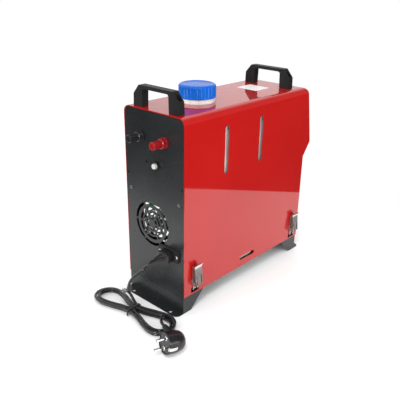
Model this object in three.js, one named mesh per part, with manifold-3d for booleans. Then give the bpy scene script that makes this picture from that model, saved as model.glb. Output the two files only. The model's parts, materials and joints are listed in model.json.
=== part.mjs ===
// Portable diesel air heater in a steel carrying case, millimetres, +Z up.
// X runs from the power panel at the rear to the warm air outlet at the front, and -Y is the sight slot side.
import * as THREE from 'three';
import { mergeVertices } from 'three/addons/utils/BufferGeometryUtils.js';
import Module from 'manifold-3d';

const wasm = await Module();
wasm.setup();

// ---------- driving dimensions ----------
const gap = 0.3; // running and seating gap between neighbours
const sheet = 1.5; // steel sheet of case, panel, feet and tray

const caseWidth = 145;
const caseHeight = 357; // top of the shell above the floor
const shellBottom = 34; // lower edge of the shell above the floor
const topLength = 350; // flat top, rear edge to front corner
const kinkLength = 372; // furthest front line of the shell
const kinkHeight = 243;
const frontLength = 351; // lower front face
const frontHeight = 215; // where the lower front face ends
const topRadius = 13; // long top edges
const frontRadius = 12; // corner between top and sloping front
const kinkRadius = 5;

const sightSlots = [104, 200.5]; // centres along the side
const sightSlotWidth = 10.5;
const sightSlotBottom = 241;
const sightSlotTop = 328;
const lowSlot = { x: 177, z: 51.5, length: 45, height: 8 };
const intakeSlots = { x: 92, z: 128, pitch: 14, count: 5, width: 5, height: 58 };

const footReach = 17.5; // floor flange beyond the case
const footTopLength = 54;
const footBottomLength = 20;
const footCorner = 10;
const footHole = { radius: 3, inset: 6, side: 50 };

const trayHeight = 46.5; // top of the side flanges of the tray

const handleSpan = 106;
const handleTopSpan = 78;
const handleShoulder = 21; // where the chamfer starts above the shell
const handleHeight = 36.5;
const handleOpening = 63;
const handleBar = 6;
const handleWidth = 14;
const handleXs = { rear: 12.5, front: 313 };
const handleWell = { width: 8.6, length: 12, floor: 5 };

const capCentre = { x: 107, y: 2 };
const capRadius = 33;
const capHeight = 22.6;
const capLift = 7.9; // lower edge of the cap above the shell
const capWall = 3.4;
const capRibs = 24;
const capRibDepth = 1.3;
const neckRadius = 31.5;
const threadRadius = 28;
const neckBore = 25;
const sealThickness = 1.4;

const tankRear = 62;
const tankFront = 328;
const tankBottom = 205.3;
const tankSide = 7; // between tank wall and shell, outside
const tankWall = 3;
const tankRadius = 14;
const tankTopGap = 6;

const postSide = 28.4;
const postMiddle = 0.8;
const postHeight = 310;
const postReach = 29;
const studRadius = 3;
const knobRadius = 7;
const knobSkirtRadius = 8.6;
const knobSkirt = 4.5;
const collarRadius = 9.6;
const collarThickness = 4;
const washerThickness = 1.4;
const washerRadius = 7.6;
const studInside = 14;

const breaker = { y: -6.9, z: 265.4, collar: 7.2, collarOut: 3, button: 4.8, out: 8, body: 17, depth: 26 };

const inlet = { y: -36.5, z: 110.5, screws: 40, flangeLength: 50, flangeHeight: 24, flange: 3, length: 27, height: 20 };
const inletCavity = { length: 24, height: 16.5, depth: 15 };
const inletPinSpan = 7;
const connector = { length: 26, height: 19, grip: 15.5, relief: 17 };

const grille = { y: 7.5, z: 153, radii: [[8, 13.5], [16.5, 22], [25, 30.5], [36.5, 42]], spoke: 3, spokes: 6 };

const panelHoles = [[18, 267], [-66, 236.5], [66, 236.5]];
const panelHoleRadius = 2;

const psu = { rear: 8, depth: 40, left: -48, right: 37, bottom: 123, top: 186, blind: 3, pitch: 10.5, hole: 3.8, reach: 34 };
const standoff = { radius: 2.5, reach: 33.5, angles: [-45, 45], side: -43, inset: 5 };

const latchXs = { rear: 27.8, front: 330 };
const latch = {
  width: 18, // lever
  pivotOut: 7, // lever pivot in front of the shell
  pivotZ: 58,
  bailIn: 3.2, // bail pivot from the lever pivot, towards the shell
  bailUp: 8,
  pin: 1.2,
  wire: 1,
  bailHalf: 6,
  slotTop: 14, // the bail's legs pass through the lever's web up to here when it opens
  leverLength: 33,
  plate: 0.8,
  ear: 1.1,
  windowHalf: 10,
  hookZ: 42,
  hookIn: 2.5,
};

const heater = { rear: 72, front: 330, half: 57, bottom: 66, top: 186, wall: 2.5, corner: 28 };
const core = { rear: 160, front: 312, radius: 34, fins: 16, fin: 3 };
const motor = { radius: 30, front: 159.7, rear: 112, shaft: 3, shaftRear: 80 };
const fan = { rear: 84, hub: 18, hubLength: 20, tip: 50, blades: 7, chord: 26, thick: 2.2 };
const outlet = { z: 126, bore: 37, flange: 44, flangeOut: 4, louvreBlades: 6, blade: 1.6 };
const cradle = { rear: 100, front: 315, half: 40, window: [122, 246] };
const exhaust = { radius: 11, wall: 1.5, wrap: 14, side: -52, z: 51.5, hole: 138, end: 27 };
const intake = { x: 162, y: 14, radius: 10, wall: 2 };
const pump = { rear: 240, front: 285, y: 54, radius: 13, nozzle: 2.4, nozzleLength: 8 };
const hoseRadius = 3.2;

const control = { width: 96, height: 66, proud: 3, depth: 18, border: 5, buttonRadius: 5, buttonDrop: 17, buttons: 4 };
const controlPitch = 19;
const buttonOut = 2.5;
const buttonTravel = 1.5;

const cordRadius = 2.6;
const tieWidth = 4;
const tieThickness = 0.8;
const hank = {
  x: -57.5,
  y: -2.5,
  tilt: 1.5,
  halfWidth: 26,
  halfRun: 66,
  pitch: 6.6,
  waist: 11.2,
  waistPitch: 6.4,
  layer: 5.8,
  turns: 3.08,
  start: 0.12,
  narrowFrom: 1.05, // turns: the second loop draws in to lie inside the first
  narrowTo: 1.95,
  fallFrom: 0.6, // turns: the first loop drops to the floor, and the third climbs back on top
  fallTo: 0.96,
  climbFrom: 2.05,
  climbTo: 2.4,
  steps: 24,
};
const plug = { x: -78, y: -131.4, z: 17.9, heading: 76, slope: -6, tilt: 10, radius: 18.4, depth: 36, pin: 2.4, pinSpan: 19, pinLength: 19, relief: 22 };

const colours = {
  red: ['#c8140f', 0.25, 0.1],
  black: ['#26282a', 0.45, 0.3],
  plastic: ['#1d1d1e', 0.55, 0],
  blue: ['#1656c8', 0.4, 0],
  white: ['#e9e6e2', 0.5, 0],
  silver: ['#c9cbcc', 0.25, 0.9],
  redPlastic: ['#cc1a1c', 0.35, 0],
  aluminium: ['#b9bcbe', 0.4, 0.8],
  green: ['#1c7a46', 0.5, 0],
  beige: ['#d9c7a0', 0.9, 0],
  rubber: ['#161616', 0.8, 0],
  pvc: ['#202124', 0.5, 0],
};

// ---------- tools of the model ----------
const pi = Math.PI;
const rad = (degrees) => (degrees * pi) / 180;

function solid(geometry) {
  const bare = geometry.clone();
  bare.deleteAttribute('normal');
  bare.deleteAttribute('uv');
  const merged = mergeVertices(bare, 1e-4);
  const vertProperties = new Float32Array(merged.attributes.position.array);
  const triVerts = new Uint32Array(merged.index.array);
  return new wasm.Manifold(new wasm.Mesh({ numProp: 3, vertProperties, triVerts }));
}

function geometryOf(body) {
  const { vertProperties, triVerts } = body.getMesh();
  const geometry = new THREE.BufferGeometry();
  geometry.setAttribute('position', new THREE.BufferAttribute(vertProperties, 3));
  geometry.setIndex(new THREE.BufferAttribute(triVerts, 1));
  const flat = geometry.toNonIndexed();
  flat.computeVertexNormals();
  return flat;
}

const join = (first, ...others) => others.reduce((sum, other) => sum.add(other), first);
const cut = (first, ...others) => others.reduce((rest, other) => rest.subtract(other), first);

// Closed outline from corners [a, b] or [a, b, radius]; corners with a radius become arcs.
function outline(corners) {
  const shape = new THREE.Shape();
  corners.forEach((corner, i) => {
    const [a, b, radius = 0] = corner;
    if (radius === 0) {
      if (i === 0) shape.moveTo(a, b);
      else shape.lineTo(a, b);
      return;
    }
    const here = new THREE.Vector2(a, b);
    const last = corners[(i + corners.length - 1) % corners.length];
    const next = corners[(i + 1) % corners.length];
    const back = new THREE.Vector2(last[0], last[1]).sub(here).normalize();
    const ahead = new THREE.Vector2(next[0], next[1]).sub(here).normalize();
    const half = Math.acos(THREE.MathUtils.clamp(back.dot(ahead), -1, 1)) / 2;
    const reach = radius / Math.tan(half);
    const start = here.clone().addScaledVector(back, reach);
    const end = here.clone().addScaledVector(ahead, reach);
    const middle = back.clone().add(ahead).normalize();
    const centre = here.clone().addScaledVector(middle, radius / Math.sin(half));
    const from = Math.atan2(start.y - centre.y, start.x - centre.x);
    const to = Math.atan2(end.y - centre.y, end.x - centre.x);
    const clockwise = back.cross(ahead) > 0;
    if (i === 0) shape.moveTo(start.x, start.y);
    else shape.lineTo(start.x, start.y);
    shape.absarc(centre.x, centre.y, radius, from, to, clockwise);
  });
  shape.closePath();
  return shape;
}

// Corners of a counter-clockwise outline moved inwards, each edge staying parallel to itself.
function shrunk(corners, distance) {
  return corners.map(([a, b, radius = 0], i) => {
    const last = corners[(i + corners.length - 1) % corners.length];
    const next = corners[(i + 1) % corners.length];
    const before = new THREE.Vector2(a - last[0], b - last[1]).normalize();
    const after = new THREE.Vector2(next[0] - a, next[1] - b).normalize();
    const share = distance / (1 + before.dot(after));
    const bend = Math.sign(before.cross(after));
    return [
      a - (before.y + after.y) * share, b + (before.x + after.x) * share, radius > 0 ? radius - bend * distance : 0,
    ];
  });
}

const block = (a0, b0, a1, b1, radius = 0) =>
  outline([[a0, b0, radius], [a1, b0, radius], [a1, b1, radius], [a0, b1, radius]]);

// Straight or round-ended slot about a centre.
const slot = (a, b, length, height) =>
  block(a - length / 2, b - height / 2, a + length / 2, b + height / 2, Math.min(length, height) / 2 - 0.01);

function disc(a, b, radius, sides = 24) {
  const shape = new THREE.Shape();
  for (let i = 0; i < sides; i++) {
    const angle = (2 * pi * (i + 0.5)) / sides;
    const x = a + radius * Math.cos(angle);
    const y = b + radius * Math.sin(angle);
    if (i === 0) shape.moveTo(x, y);
    else shape.lineTo(x, y);
  }
  shape.closePath();
  return shape;
}

function extruded(shape, length, facets) {
  return new THREE.ExtrudeGeometry(shape, { depth: length, bevelEnabled: false, curveSegments: facets });
}

// Outline in (x, y), from height z0 to z1.
function upright(shape, z0, z1, facets = 5) {
  return solid(extruded(shape, z1 - z0, facets).translate(0, 0, z0));
}

// Outline in (x, z), from y0 to y1.
function acrossY(shape, y0, y1, facets = 5) {
  return solid(extruded(shape, y1 - y0, facets).rotateX(pi / 2).translate(0, y1, 0));
}

// Outline in (y, z), from x0 to x1.
function alongX(shape, x0, x1, facets = 5) {
  const turn = new THREE.Matrix4().makeBasis(
    new THREE.Vector3(0, 1, 0), new THREE.Vector3(0, 0, 1), new THREE.Vector3(1, 0, 0));
  return solid(extruded(shape, x1 - x0, facets).applyMatrix4(turn).translate(x0, 0, 0));
}

// Turned body: profile [radius, height] revolved about Z.
function turned(profile, sides = 24) {
  return new THREE.LatheGeometry(profile.map(([r, h]) => new THREE.Vector2(r, h)), sides);
}

const turnedZ = (profile, x, y, sides) => solid(turned(profile, sides).rotateX(pi / 2).translate(x, y, 0));
// Same, about an axis along X; profile heights become x.
const turnedX = (profile, y, z, sides) => solid(turned(profile, sides).rotateZ(-pi / 2).translate(0, y, z));

// Closed ring or rod profiles, counter-clockwise for outward faces.
const rod = (radius, from, to) => [[0, from], [radius, from], [radius, to], [0, to]];
const ring = (inner, outer, from, to) => [[inner, from], [outer, from], [outer, to], [inner, to], [inner, from]];

function tube(points, radius, sides, steps, bore = 0) {
  const path = new THREE.CatmullRomCurve3(points.map((p) => new THREE.Vector3(...p)), false, 'centripetal');
  const shape = disc(0, 0, radius, sides);
  if (bore > 0) shape.holes.push(disc(0, 0, bore, sides));
  return new THREE.ExtrudeGeometry(shape, { steps, extrudePath: path, curveSegments: 1 });
}

const model = new THREE.Group();
// The origin lies under the middle of everything that stands on the floor, without the cord.
const originX = (kinkLength - postReach) / 2;
const body = new THREE.Group();
body.position.x = -originX;
model.add(body);

function place(name, form, colour, parent = body) {
  const [hex, roughness, metalness] = colours[colour];
  const material = new THREE.MeshStandardMaterial({ color: hex, roughness, metalness });
  const mesh = new THREE.Mesh(form.isBufferGeometry ? form : geometryOf(form), material);
  mesh.name = name;
  parent.add(mesh);
  return mesh;
}

// ---------- values worked out from the driving dimensions ----------
const halfWidth = caseWidth / 2;
const innerHalf = halfWidth - sheet;
const panelHalf = innerHalf - gap;
const trayBottom = shellBottom + gap;
const trayTop = trayBottom + sheet;
const innerFront = frontLength - sheet;
const shelfTop = tankBottom - gap;

// ---------- shell ----------
function caseBody(inset, rear, bottom) {
  const side = shrunk([
    [rear - inset, bottom - inset], [frontLength, bottom - inset], [frontLength, frontHeight, kinkRadius],
    [kinkLength, kinkHeight, kinkRadius], [topLength, caseHeight, frontRadius], [rear - inset, caseHeight],
  ], inset);
  const end = shrunk([
    [-halfWidth, bottom - inset], [halfWidth, bottom - inset],
    [halfWidth, caseHeight, topRadius], [-halfWidth, caseHeight, topRadius],
  ], inset);
  const across = acrossY(outline(side), inset - halfWidth, halfWidth - inset, 3);
  return across.intersect(alongX(outline(end), rear, kinkLength + 1, 4));
}

const facing = new THREE.Group(); // plane of the sloping front, local X out of it and local Z up along it
{
  const lean = Math.atan2(kinkLength - topLength, caseHeight - kinkHeight);
  facing.position.set((kinkLength + topLength) / 2, 0, (kinkHeight + caseHeight) / 2);
  facing.rotation.y = -lean;
  facing.updateMatrix();
  body.add(facing);
}
const inFacing = (form) => form.transform(facing.matrix.elements);

function shell() {
  const openEnd = 20;
  const wall = cut(caseBody(0, 0, shellBottom), caseBody(sheet, -openEnd, shellBottom - openEnd));
  const middle = (sightSlotTop + sightSlotBottom) / 2;
  const cuts = sightSlots.map((x) =>
    acrossY(slot(x, middle, sightSlotWidth, sightSlotTop - sightSlotBottom), -halfWidth - 1, -halfWidth + 5, 3));
  cuts.push(acrossY(slot(lowSlot.x, lowSlot.z, lowSlot.length, lowSlot.height), -halfWidth - 1, -halfWidth + 5, 2));
  for (const x of Object.values(latchXs)) {
    const window = block(x - latch.windowHalf, shellBottom + 2.5, x + latch.windowHalf, trayHeight + 1);
    cuts.push(acrossY(window, -halfWidth - 1, halfWidth + 1));
  }
  for (let i = 0; i < intakeSlots.count; i++) {
    const x = intakeSlots.x + i * intakeSlots.pitch;
    cuts.push(acrossY(slot(x, intakeSlots.z, intakeSlots.width, intakeSlots.height), halfWidth - 5, halfWidth + 1, 2));
  }
  cuts.push(upright(disc(capCentre.x, capCentre.y, neckRadius + 2 * gap, 28), caseHeight - 5, caseHeight + 5));
  cuts.push(alongX(disc(0, outlet.z, outlet.bore + sheet + 2 * gap, 24), frontLength - 8, frontLength + 5));
  const pocket = control.border - gap;
  const opening = block(
    -control.width / 2 + pocket, -control.height / 2 + pocket, control.width / 2 - pocket, control.height / 2 - pocket, 4);
  cuts.push(inFacing(alongX(opening, -8, 8, 2)));
  return cut(wall, ...cuts);
}
place('shell', shell(), 'red');

// ---------- rear panel with its stamped fan grille ----------
function ringSector(centreY, centreZ, inner, outer, from, to, facets) {
  const shape = new THREE.Shape();
  const at = (radius, angle) => [centreY + radius * Math.cos(angle), centreZ + radius * Math.sin(angle)];
  for (let i = 0; i <= facets; i++) {
    const point = at(outer, from.outer + ((to.outer - from.outer) * i) / facets);
    if (i === 0) shape.moveTo(...point);
    else shape.lineTo(...point);
  }
  for (let i = facets; i >= 0; i--) {
    shape.lineTo(...at(inner, from.inner + ((to.inner - from.inner) * i) / facets));
  }
  shape.closePath();
  return shape;
}

function grilleSlots(x0, x1) {
  const slots = [];
  for (const [inner, outer] of grille.radii) {
    for (let i = 0; i < grille.spokes; i++) {
      const start = (2 * pi * i) / grille.spokes;
      const end = (2 * pi * (i + 1)) / grille.spokes;
      const trimOuter = Math.asin(grille.spoke / 2 / outer);
      const trimInner = Math.asin(grille.spoke / 2 / inner);
      const from = { outer: start + trimOuter, inner: start + trimInner };
      const to = { outer: end - trimOuter, inner: end - trimInner };
      const facets = outer > 2 * grille.radii[0][1] ? 3 : 2;
      slots.push(alongX(ringSector(grille.y, grille.z, inner, outer, from, to, facets), x0, x1));
    }
  }
  return slots;
}

function rearPanel() {
  const top = caseHeight - sheet - gap;
  const corner = topRadius - sheet - gap;
  const sheetForm = alongX(outline([
    [-panelHalf, trayBottom], [panelHalf, trayBottom], [panelHalf, top, corner], [-panelHalf, top, corner],
  ]), gap, gap + sheet);
  const cuts = grilleSlots(-1, sheet + 1);
  for (const side of [-1, 1]) {
    cuts.push(alongX(disc(postMiddle + side * postSide, postHeight, studRadius + 2.5, 12), -1, sheet + 1));
  }
  cuts.push(alongX(disc(breaker.y, breaker.z, breaker.collar - 1.5, 16), -1, sheet + 1));
  for (const [y, z] of panelHoles) cuts.push(alongX(disc(y, z, panelHoleRadius, 10), -1, sheet + 1));
  const halfLength = inlet.length / 2 + gap;
  const half = inlet.height / 2 + gap;
  cuts.push(alongX(
    block(inlet.y - halfLength, inlet.z - half, inlet.y + halfLength, inlet.z + half), -1, sheet + 1));
  return cut(sheetForm, ...cuts);
}
place('rear_panel', rearPanel(), 'black');

// ---------- tray and feet ----------
function basePlate() {
  const outside = panelHalf;
  const inside = outside - sheet;
  const profile = outline([
    [-outside, trayBottom], [outside, trayBottom], [outside, trayHeight], [inside, trayHeight], [inside, trayTop],
    [-inside, trayTop], [-inside, trayHeight], [-outside, trayHeight],
  ]);
  const form = alongX(profile, sheet + 2 * gap, innerFront - gap);
  const cuts = [];
  for (const x of Object.values(latchXs)) {
    const hook = block(x - latch.windowHalf + 2, trayTop + 1, x + latch.windowHalf - 2, latch.hookZ + latch.wire + 1);
    cuts.push(acrossY(hook, -halfWidth, halfWidth));
  }
  cuts.push(upright(disc(exhaust.hole, exhaust.side, exhaust.radius + 1, 16), 20, 40));
  cuts.push(upright(disc(intake.x, intake.y, intake.radius + 1, 16), 20, 40));
  return cut(form, ...cuts);
}
place('base_plate', basePlate(), 'black');

// Bent bracket: flange on the floor, upright, short flange under the tray, and a cheek at each side.
function foot() {
  const top = shellBottom;
  const bend = outline([
    [-footReach, 0], [sheet, 0], [sheet, top - sheet], [footBottomLength, top - sheet], [footBottomLength, top],
    [0, top], [0, sheet], [-footReach, sheet],
  ]);
  const cheek = outline([[0, 0], [footBottomLength, 0], [footTopLength, top], [0, top]]);
  const form = join(
    acrossY(bend, -panelHalf, panelHalf),
    acrossY(cheek, -panelHalf, -panelHalf + sheet),
    acrossY(cheek, panelHalf - sheet, panelHalf));
  const plan = outline([
    [-footReach, -panelHalf, footCorner], [footTopLength + 1, -panelHalf],
    [footTopLength + 1, panelHalf], [-footReach, panelHalf, footCorner],
  ]);
  const trimmed = form.intersect(upright(plan, -1, top + 1, 4));
  const holes = [-1, 1].map((side) =>
    upright(disc(-footReach + footHole.inset, side * footHole.side, footHole.radius, 12), -1, 5));
  return cut(trimmed, ...holes);
}
place('rear_foot', foot(), 'black');
const frontFoot = place('front_foot', foot(), 'black');
frontFoot.rotation.z = pi;
frontFoot.position.x = frontLength;

// ---------- bridge handles ----------
function handle() {
  const half = handleSpan / 2;
  const shoulder = handleTopSpan / 2;
  const open = handleOpening / 2;
  const base = caseHeight + gap;
  const top = caseHeight + handleHeight;
  const side = outline([
    [-half, base], [-open, base], [-open + 1, top - handleBar, 4], [open - 1, top - handleBar, 4], [open, base],
    [half, base], [half - 0.8, caseHeight + handleShoulder, 2], [shoulder, top, 3],
    [-shoulder, top, 3], [-half + 0.8, caseHeight + handleShoulder, 2],
  ]);
  const form = alongX(side, -handleWidth / 2, handleWidth / 2, 2);
  const wellCentre = (half + shoulder) / 2 - 0.5;
  const wells = [-1, 1].map((end) => upright(
    slot(0, end * wellCentre, handleWell.width, handleWell.length), base + handleWell.floor, top + 1, 2));
  return cut(form, ...wells);
}
for (const [end, x] of Object.entries(handleXs)) {
  const mesh = place(`handle_${end}`, handle(), 'plastic');
  mesh.position.x = x;
}

// ---------- tank, its neck and cap ----------
const capBottom = caseHeight + capLift;
const neckTop = capBottom + capHeight - capWall - sealThickness - 2 * gap;

function tank() {
  const half = halfWidth - tankSide;
  const top = caseHeight - sheet - tankTopGap;
  const plan = (inset) => block(
    tankRear + inset, -half + inset, tankFront - inset, half - inset, tankRadius - inset);
  const outer = join(
    upright(plan(0), tankBottom + 4, top - 4, 3),
    upright(plan(2), tankBottom, top, 3),
    turnedZ(rod(neckRadius, top - 2, capBottom - 2 * gap), capCentre.x, capCentre.y, 28),
    turnedZ(rod(threadRadius, top - 2, neckTop), capCentre.x, capCentre.y, 24));
  return cut(outer,
    upright(plan(tankWall + 2), tankBottom + tankWall, top - tankWall, 2),
    turnedZ(rod(neckBore, top - 2 * tankWall, neckTop + 1), capCentre.x, capCentre.y, 20));
}
place('fuel_tank', tank(), 'white');

function cap() {
  const facets = capRibs * 3;
  const rim = (radius) => {
    const points = [];
    for (let i = 0; i < facets; i++) {
      const angle = (2 * pi * i) / facets;
      const wave = Math.pow(Math.abs(Math.sin((capRibs * angle) / 2)), 0.7);
      const r = radius - capRibDepth * (1 - wave);
      points.push(new THREE.Vector2(r * Math.cos(angle), r * Math.sin(angle)));
    }
    return new THREE.Shape(points);
  };
  const skirt = upright(rim(capRadius), 0, capHeight);
  const dome = turnedZ([
    [0, -1], [capRadius + 0.4, -1], [capRadius + 0.4, capHeight - 3.2], [capRadius - 1.2, capHeight - 0.9],
    [capRadius - 3, capHeight], [0, capHeight],
  ], 0, 0, 36);
  const flange = turnedZ(rod(capRadius + 0.2, 0, 2.2), 0, 0, 36);
  const hollow = turnedZ(rod(threadRadius + 2 * gap, -1, capHeight - capWall), 0, 0, 24);
  return cut(join(skirt.intersect(dome), flange), hollow);
}
const capMesh = place('filler_cap', cap(), 'blue');
capMesh.position.set(capCentre.x, capCentre.y, capBottom);

const sealTop = capBottom + capHeight - capWall - gap;
place('cap_seal', turnedZ(
  ring(neckBore - 3, threadRadius - gap, sealTop - sealThickness, sealTop), capCentre.x, capCentre.y, 20), 'rubber');

// Sheet bridge that carries the tank above the heater.
function tankShelf() {
  const outside = panelHalf - sheet - gap;
  const inside = outside - sheet;
  const foot = trayTop + gap;
  const rear = tankRear - 2;
  const front = tankFront + 2;
  const profile = outline([
    [-outside, foot], [-inside, foot], [-inside, shelfTop - sheet], [inside, shelfTop - sheet], [inside, foot],
    [outside, foot], [outside, shelfTop], [-outside, shelfTop],
  ]);
  const window = block(rear + 33, foot + 3, front - 33, shelfTop - 14, 10);
  const lightening = block(rear + 30, -40, front - 30, 40, 12);
  const hoseHole = disc(hoseTank[0][0], hoseTank[0][1], hoseRadius + 1, 10);
  // the front latches hook in where the legs would stand
  const latchNotch = block(latchXs.front - latch.windowHalf - 6, foot - 1, front + 1, latch.pivotZ + 12);
  return cut(alongX(profile, rear, front),
    acrossY(window, -halfWidth, halfWidth, 2),
    acrossY(latchNotch, -halfWidth, halfWidth),
    upright(lightening, shelfTop - 5, shelfTop + 5, 2),
    upright(hoseHole, shelfTop - 5, shelfTop + 5));
}

// ---------- fuel lines ----------
const pumpZ = trayTop + gap + pump.radius;
const hoseTank = [
  [200, 61.5, tankBottom - gap], [200, 61.5, 190], [200, 61.5, 150], [199, 61.5, 110], [199, 61, 85],
  [203, 59, 66], [212, 56, 54.5], [222, 54.3, 50], [231.5, pump.y, pumpZ],
];
const hoseHeater = [
  [293.5, pump.y, pumpZ], [303, 53, 49.2], [318, 48.5, 49.5], [328, 38, 50], [331, 24, 50], [326, 11, 50],
  [314, 3, 50], [300, 0, 50], [270, 0, 50], [250, 0, 50.5], [238, 0, 55], [235, 0, 61], [235, 0, heater.bottom - gap],
];
place('tank_shelf', tankShelf(), 'black');
place('hose_tank', solid(tube(hoseTank, hoseRadius, 6, 18)), 'rubber');
place('hose_heater', solid(tube(hoseHeater, hoseRadius, 6, 20)), 'rubber');

const pumpForm = join(
  turnedX([
    [0, pump.rear], [pump.radius - 3, pump.rear], [pump.radius, pump.rear + 3], [pump.radius, pump.front - 14],
    [pump.radius - 4, pump.front - 12], [pump.radius - 4, pump.front], [0, pump.front],
  ], pump.y, pumpZ, 20),
  turnedX(rod(pump.nozzle, pump.rear - pump.nozzleLength, pump.front + pump.nozzleLength), pump.y, pumpZ, 10));
place('fuel_pump', pumpForm, 'aluminium');

// ---------- heater ----------
const heaterZ = (heater.bottom + heater.top) / 2;
const heaterRoom = (inset) => block(
  -heater.half + inset, heater.bottom + inset, heater.half - inset, heater.top - inset, heater.corner - inset);

place('heater_casing', cut(
  alongX(heaterRoom(0), heater.rear, heater.front, 5),
  alongX(heaterRoom(heater.wall), heater.rear - 1, heater.front + 1, 5)), 'plastic');

// Cast heat exchanger: a drum with fins that reach the casing.
function heatExchanger() {
  const drum = turnedX(rod(core.radius, core.rear, core.front), 0, heaterZ, 30);
  const fins = [];
  for (let i = 0; i < core.fins / 2; i++) {
    const blade = block(-core.fin / 2, -90, core.fin / 2, 90);
    const fin = solid(extruded(blade, core.front - core.rear - 16, 1).rotateZ((2 * pi * i) / core.fins).applyMatrix4(
      new THREE.Matrix4().makeBasis(
        new THREE.Vector3(0, 1, 0), new THREE.Vector3(0, 0, 1), new THREE.Vector3(1, 0, 0)),
    ).translate(core.rear + 8, 0, heaterZ));
    fins.push(fin);
  }
  return join(drum, ...fins).intersect(alongX(heaterRoom(heater.wall + gap), core.rear - 1, core.front + 1, 5));
}
place('heat_exchanger', heatExchanger(), 'aluminium');

place('fan_motor', join(
  turnedX(rod(motor.radius, motor.rear, motor.front), 0, heaterZ, 24),
  turnedX(rod(motor.shaft, motor.shaftRear, motor.rear + 1), 0, heaterZ, 12)), 'plastic');

// Axial fan: each blade is lofted from a steep root section to a flat tip section.
function bladeForm(turn) {
  const section = (radius, chord, pitch) => {
    const along = new THREE.Vector2(Math.cos(pitch), Math.sin(pitch)).multiplyScalar(chord / 2);
    const across = new THREE.Vector2(-Math.sin(pitch), Math.cos(pitch)).multiplyScalar(fan.thick / 2);
    return [[-1, 0], [0, -1], [1, 0], [0, 1]].map(([s, t]) => [
      along.x * s + across.x * t, along.y * s + across.y * t, radius,
    ]);
  };
  const sections = [
    section(fan.hub - 4, fan.chord * 0.55, rad(48)),
    section((fan.hub + fan.tip) / 2, fan.chord * 0.8, rad(32)),
    section(fan.tip, fan.chord, rad(22)),
  ];
  const vertices = sections.flat().map(([t, x, r]) => [x, t, r]).flat();
  const faces = [0, 2, 1, 0, 3, 2];
  for (let level = 0; level < 2; level++) {
    for (let i = 0; i < 4; i++) {
      const a = level * 4 + i;
      const b = level * 4 + ((i + 1) % 4);
      faces.push(a, b, b + 4, a, b + 4, a + 4);
    }
  }
  faces.push(8, 9, 10, 8, 10, 11);
  const geometry = new THREE.BufferGeometry();
  geometry.setAttribute('position', new THREE.Float32BufferAttribute(vertices, 3));
  geometry.setIndex(faces.map((v, i) => faces[i - (i % 3) + [0, 2, 1][i % 3]]));
  return solid(geometry.rotateX(turn));
}

function fanForm() {
  const hub = turnedX(ring(motor.shaft + gap, fan.hub, 0, fan.hubLength), 0, 0, 24);
  const blades = [];
  for (let i = 0; i < fan.blades; i++) {
    blades.push(bladeForm((2 * pi * i) / fan.blades).translate([fan.hubLength / 2, 0, 0]));
  }
  const bore = turnedX(rod(motor.shaft + gap, -5, fan.hubLength + 5), 0, 0, 24);
  return cut(join(hub, ...blades), bore);
}
const fanMesh = place('fan_impeller', fanForm(), 'plastic');
fanMesh.position.set(fan.rear, 0, heaterZ);

// Hood from the casing to the round outlet.
function outletHood() {
  const throat = outlet.bore + 1;
  const rear = heater.front + gap;
  const front = innerFront - gap;
  return turnedX([
    [heater.half - 8, rear], [heater.half - 6, rear], [heater.half - 6, rear + 4], [throat + 2, front],
    [throat, front], [heater.half - 8, rear + 4], [heater.half - 8, rear],
  ], 0, outlet.z, 24);
}
place('outlet_hood', outletHood(), 'plastic');

const ringFront = frontLength + outlet.flangeOut + gap;
place('outlet_ring', turnedX([
  [outlet.bore - 1.5, innerFront], [outlet.bore + sheet - 0.2, innerFront], [outlet.bore + sheet - 0.2, frontLength + gap],
  [outlet.flange, frontLength + gap], [outlet.flange - 1.5, ringFront], [outlet.bore + 0.5, ringFront],
  [outlet.bore - 1.5, ringFront - 2.5], [outlet.bore - 1.5, innerFront],
], 0, outlet.z, 24), 'plastic');

// Turnable louvre with slanted blades.
function louvre() {
  const radius = outlet.bore - 1.5 - gap;
  const depth = 12;
  const frame = turnedX(ring(radius - 2, radius, 0, depth), 0, 0, 24);
  const well = turnedX(rod(radius - 0.5, 0.5, depth - 0.5), 0, 0, 16);
  const blades = [];
  const pitch = (2 * radius) / outlet.louvreBlades;
  for (let i = 0; i < outlet.louvreBlades; i++) {
    const z = -radius + pitch * (i + 0.5);
    const section = outline([
      [0, z - 4], [outlet.blade, z - 4], [depth, z + 3], [depth - outlet.blade, z + 3],
    ]);
    blades.push(acrossY(section, -radius, radius).intersect(well));
  }
  const stem = acrossY(block(depth / 2 - 1.5, -radius + 1, depth / 2 + 1.5, radius - 1), -1.2, 1.2);
  return join(frame, stem, ...blades);
}
const louvreMesh = place('outlet_louvre', louvre(), 'plastic');
louvreMesh.position.set(ringFront - 13, 0, outlet.z);

// Hat-shaped sheet cradle that carries the heater, open where the pipes pass.
function cradleForm() {
  const foot = trayTop + gap;
  const top = heater.bottom - gap;
  const profile = outline([
    [-cradle.half - 12, foot], [-cradle.half + sheet, foot], [-cradle.half + sheet, top - sheet],
    [cradle.half - sheet, top - sheet], [cradle.half - sheet, foot], [cradle.half, foot], [cradle.half, top],
    [-cradle.half, top], [-cradle.half, foot + sheet], [-cradle.half - 12, foot + sheet],
  ]);
  const [windowRear, windowFront] = cradle.window;
  const passage = block(windowRear, foot - 1, windowFront, top - 6);
  const hatch = block(windowRear, -cradle.half - 20, windowFront, cradle.half - 12);
  return cut(alongX(profile, cradle.rear, cradle.front),
    acrossY(passage, -halfWidth, 0), upright(hatch, foot - 1, top + 1),
    upright(disc(hoseHeater.at(-1)[0], 0, hoseRadius + 1, 10), top - 5, top + 5));
}
place('heater_cradle', cradleForm(), 'black');

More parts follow.
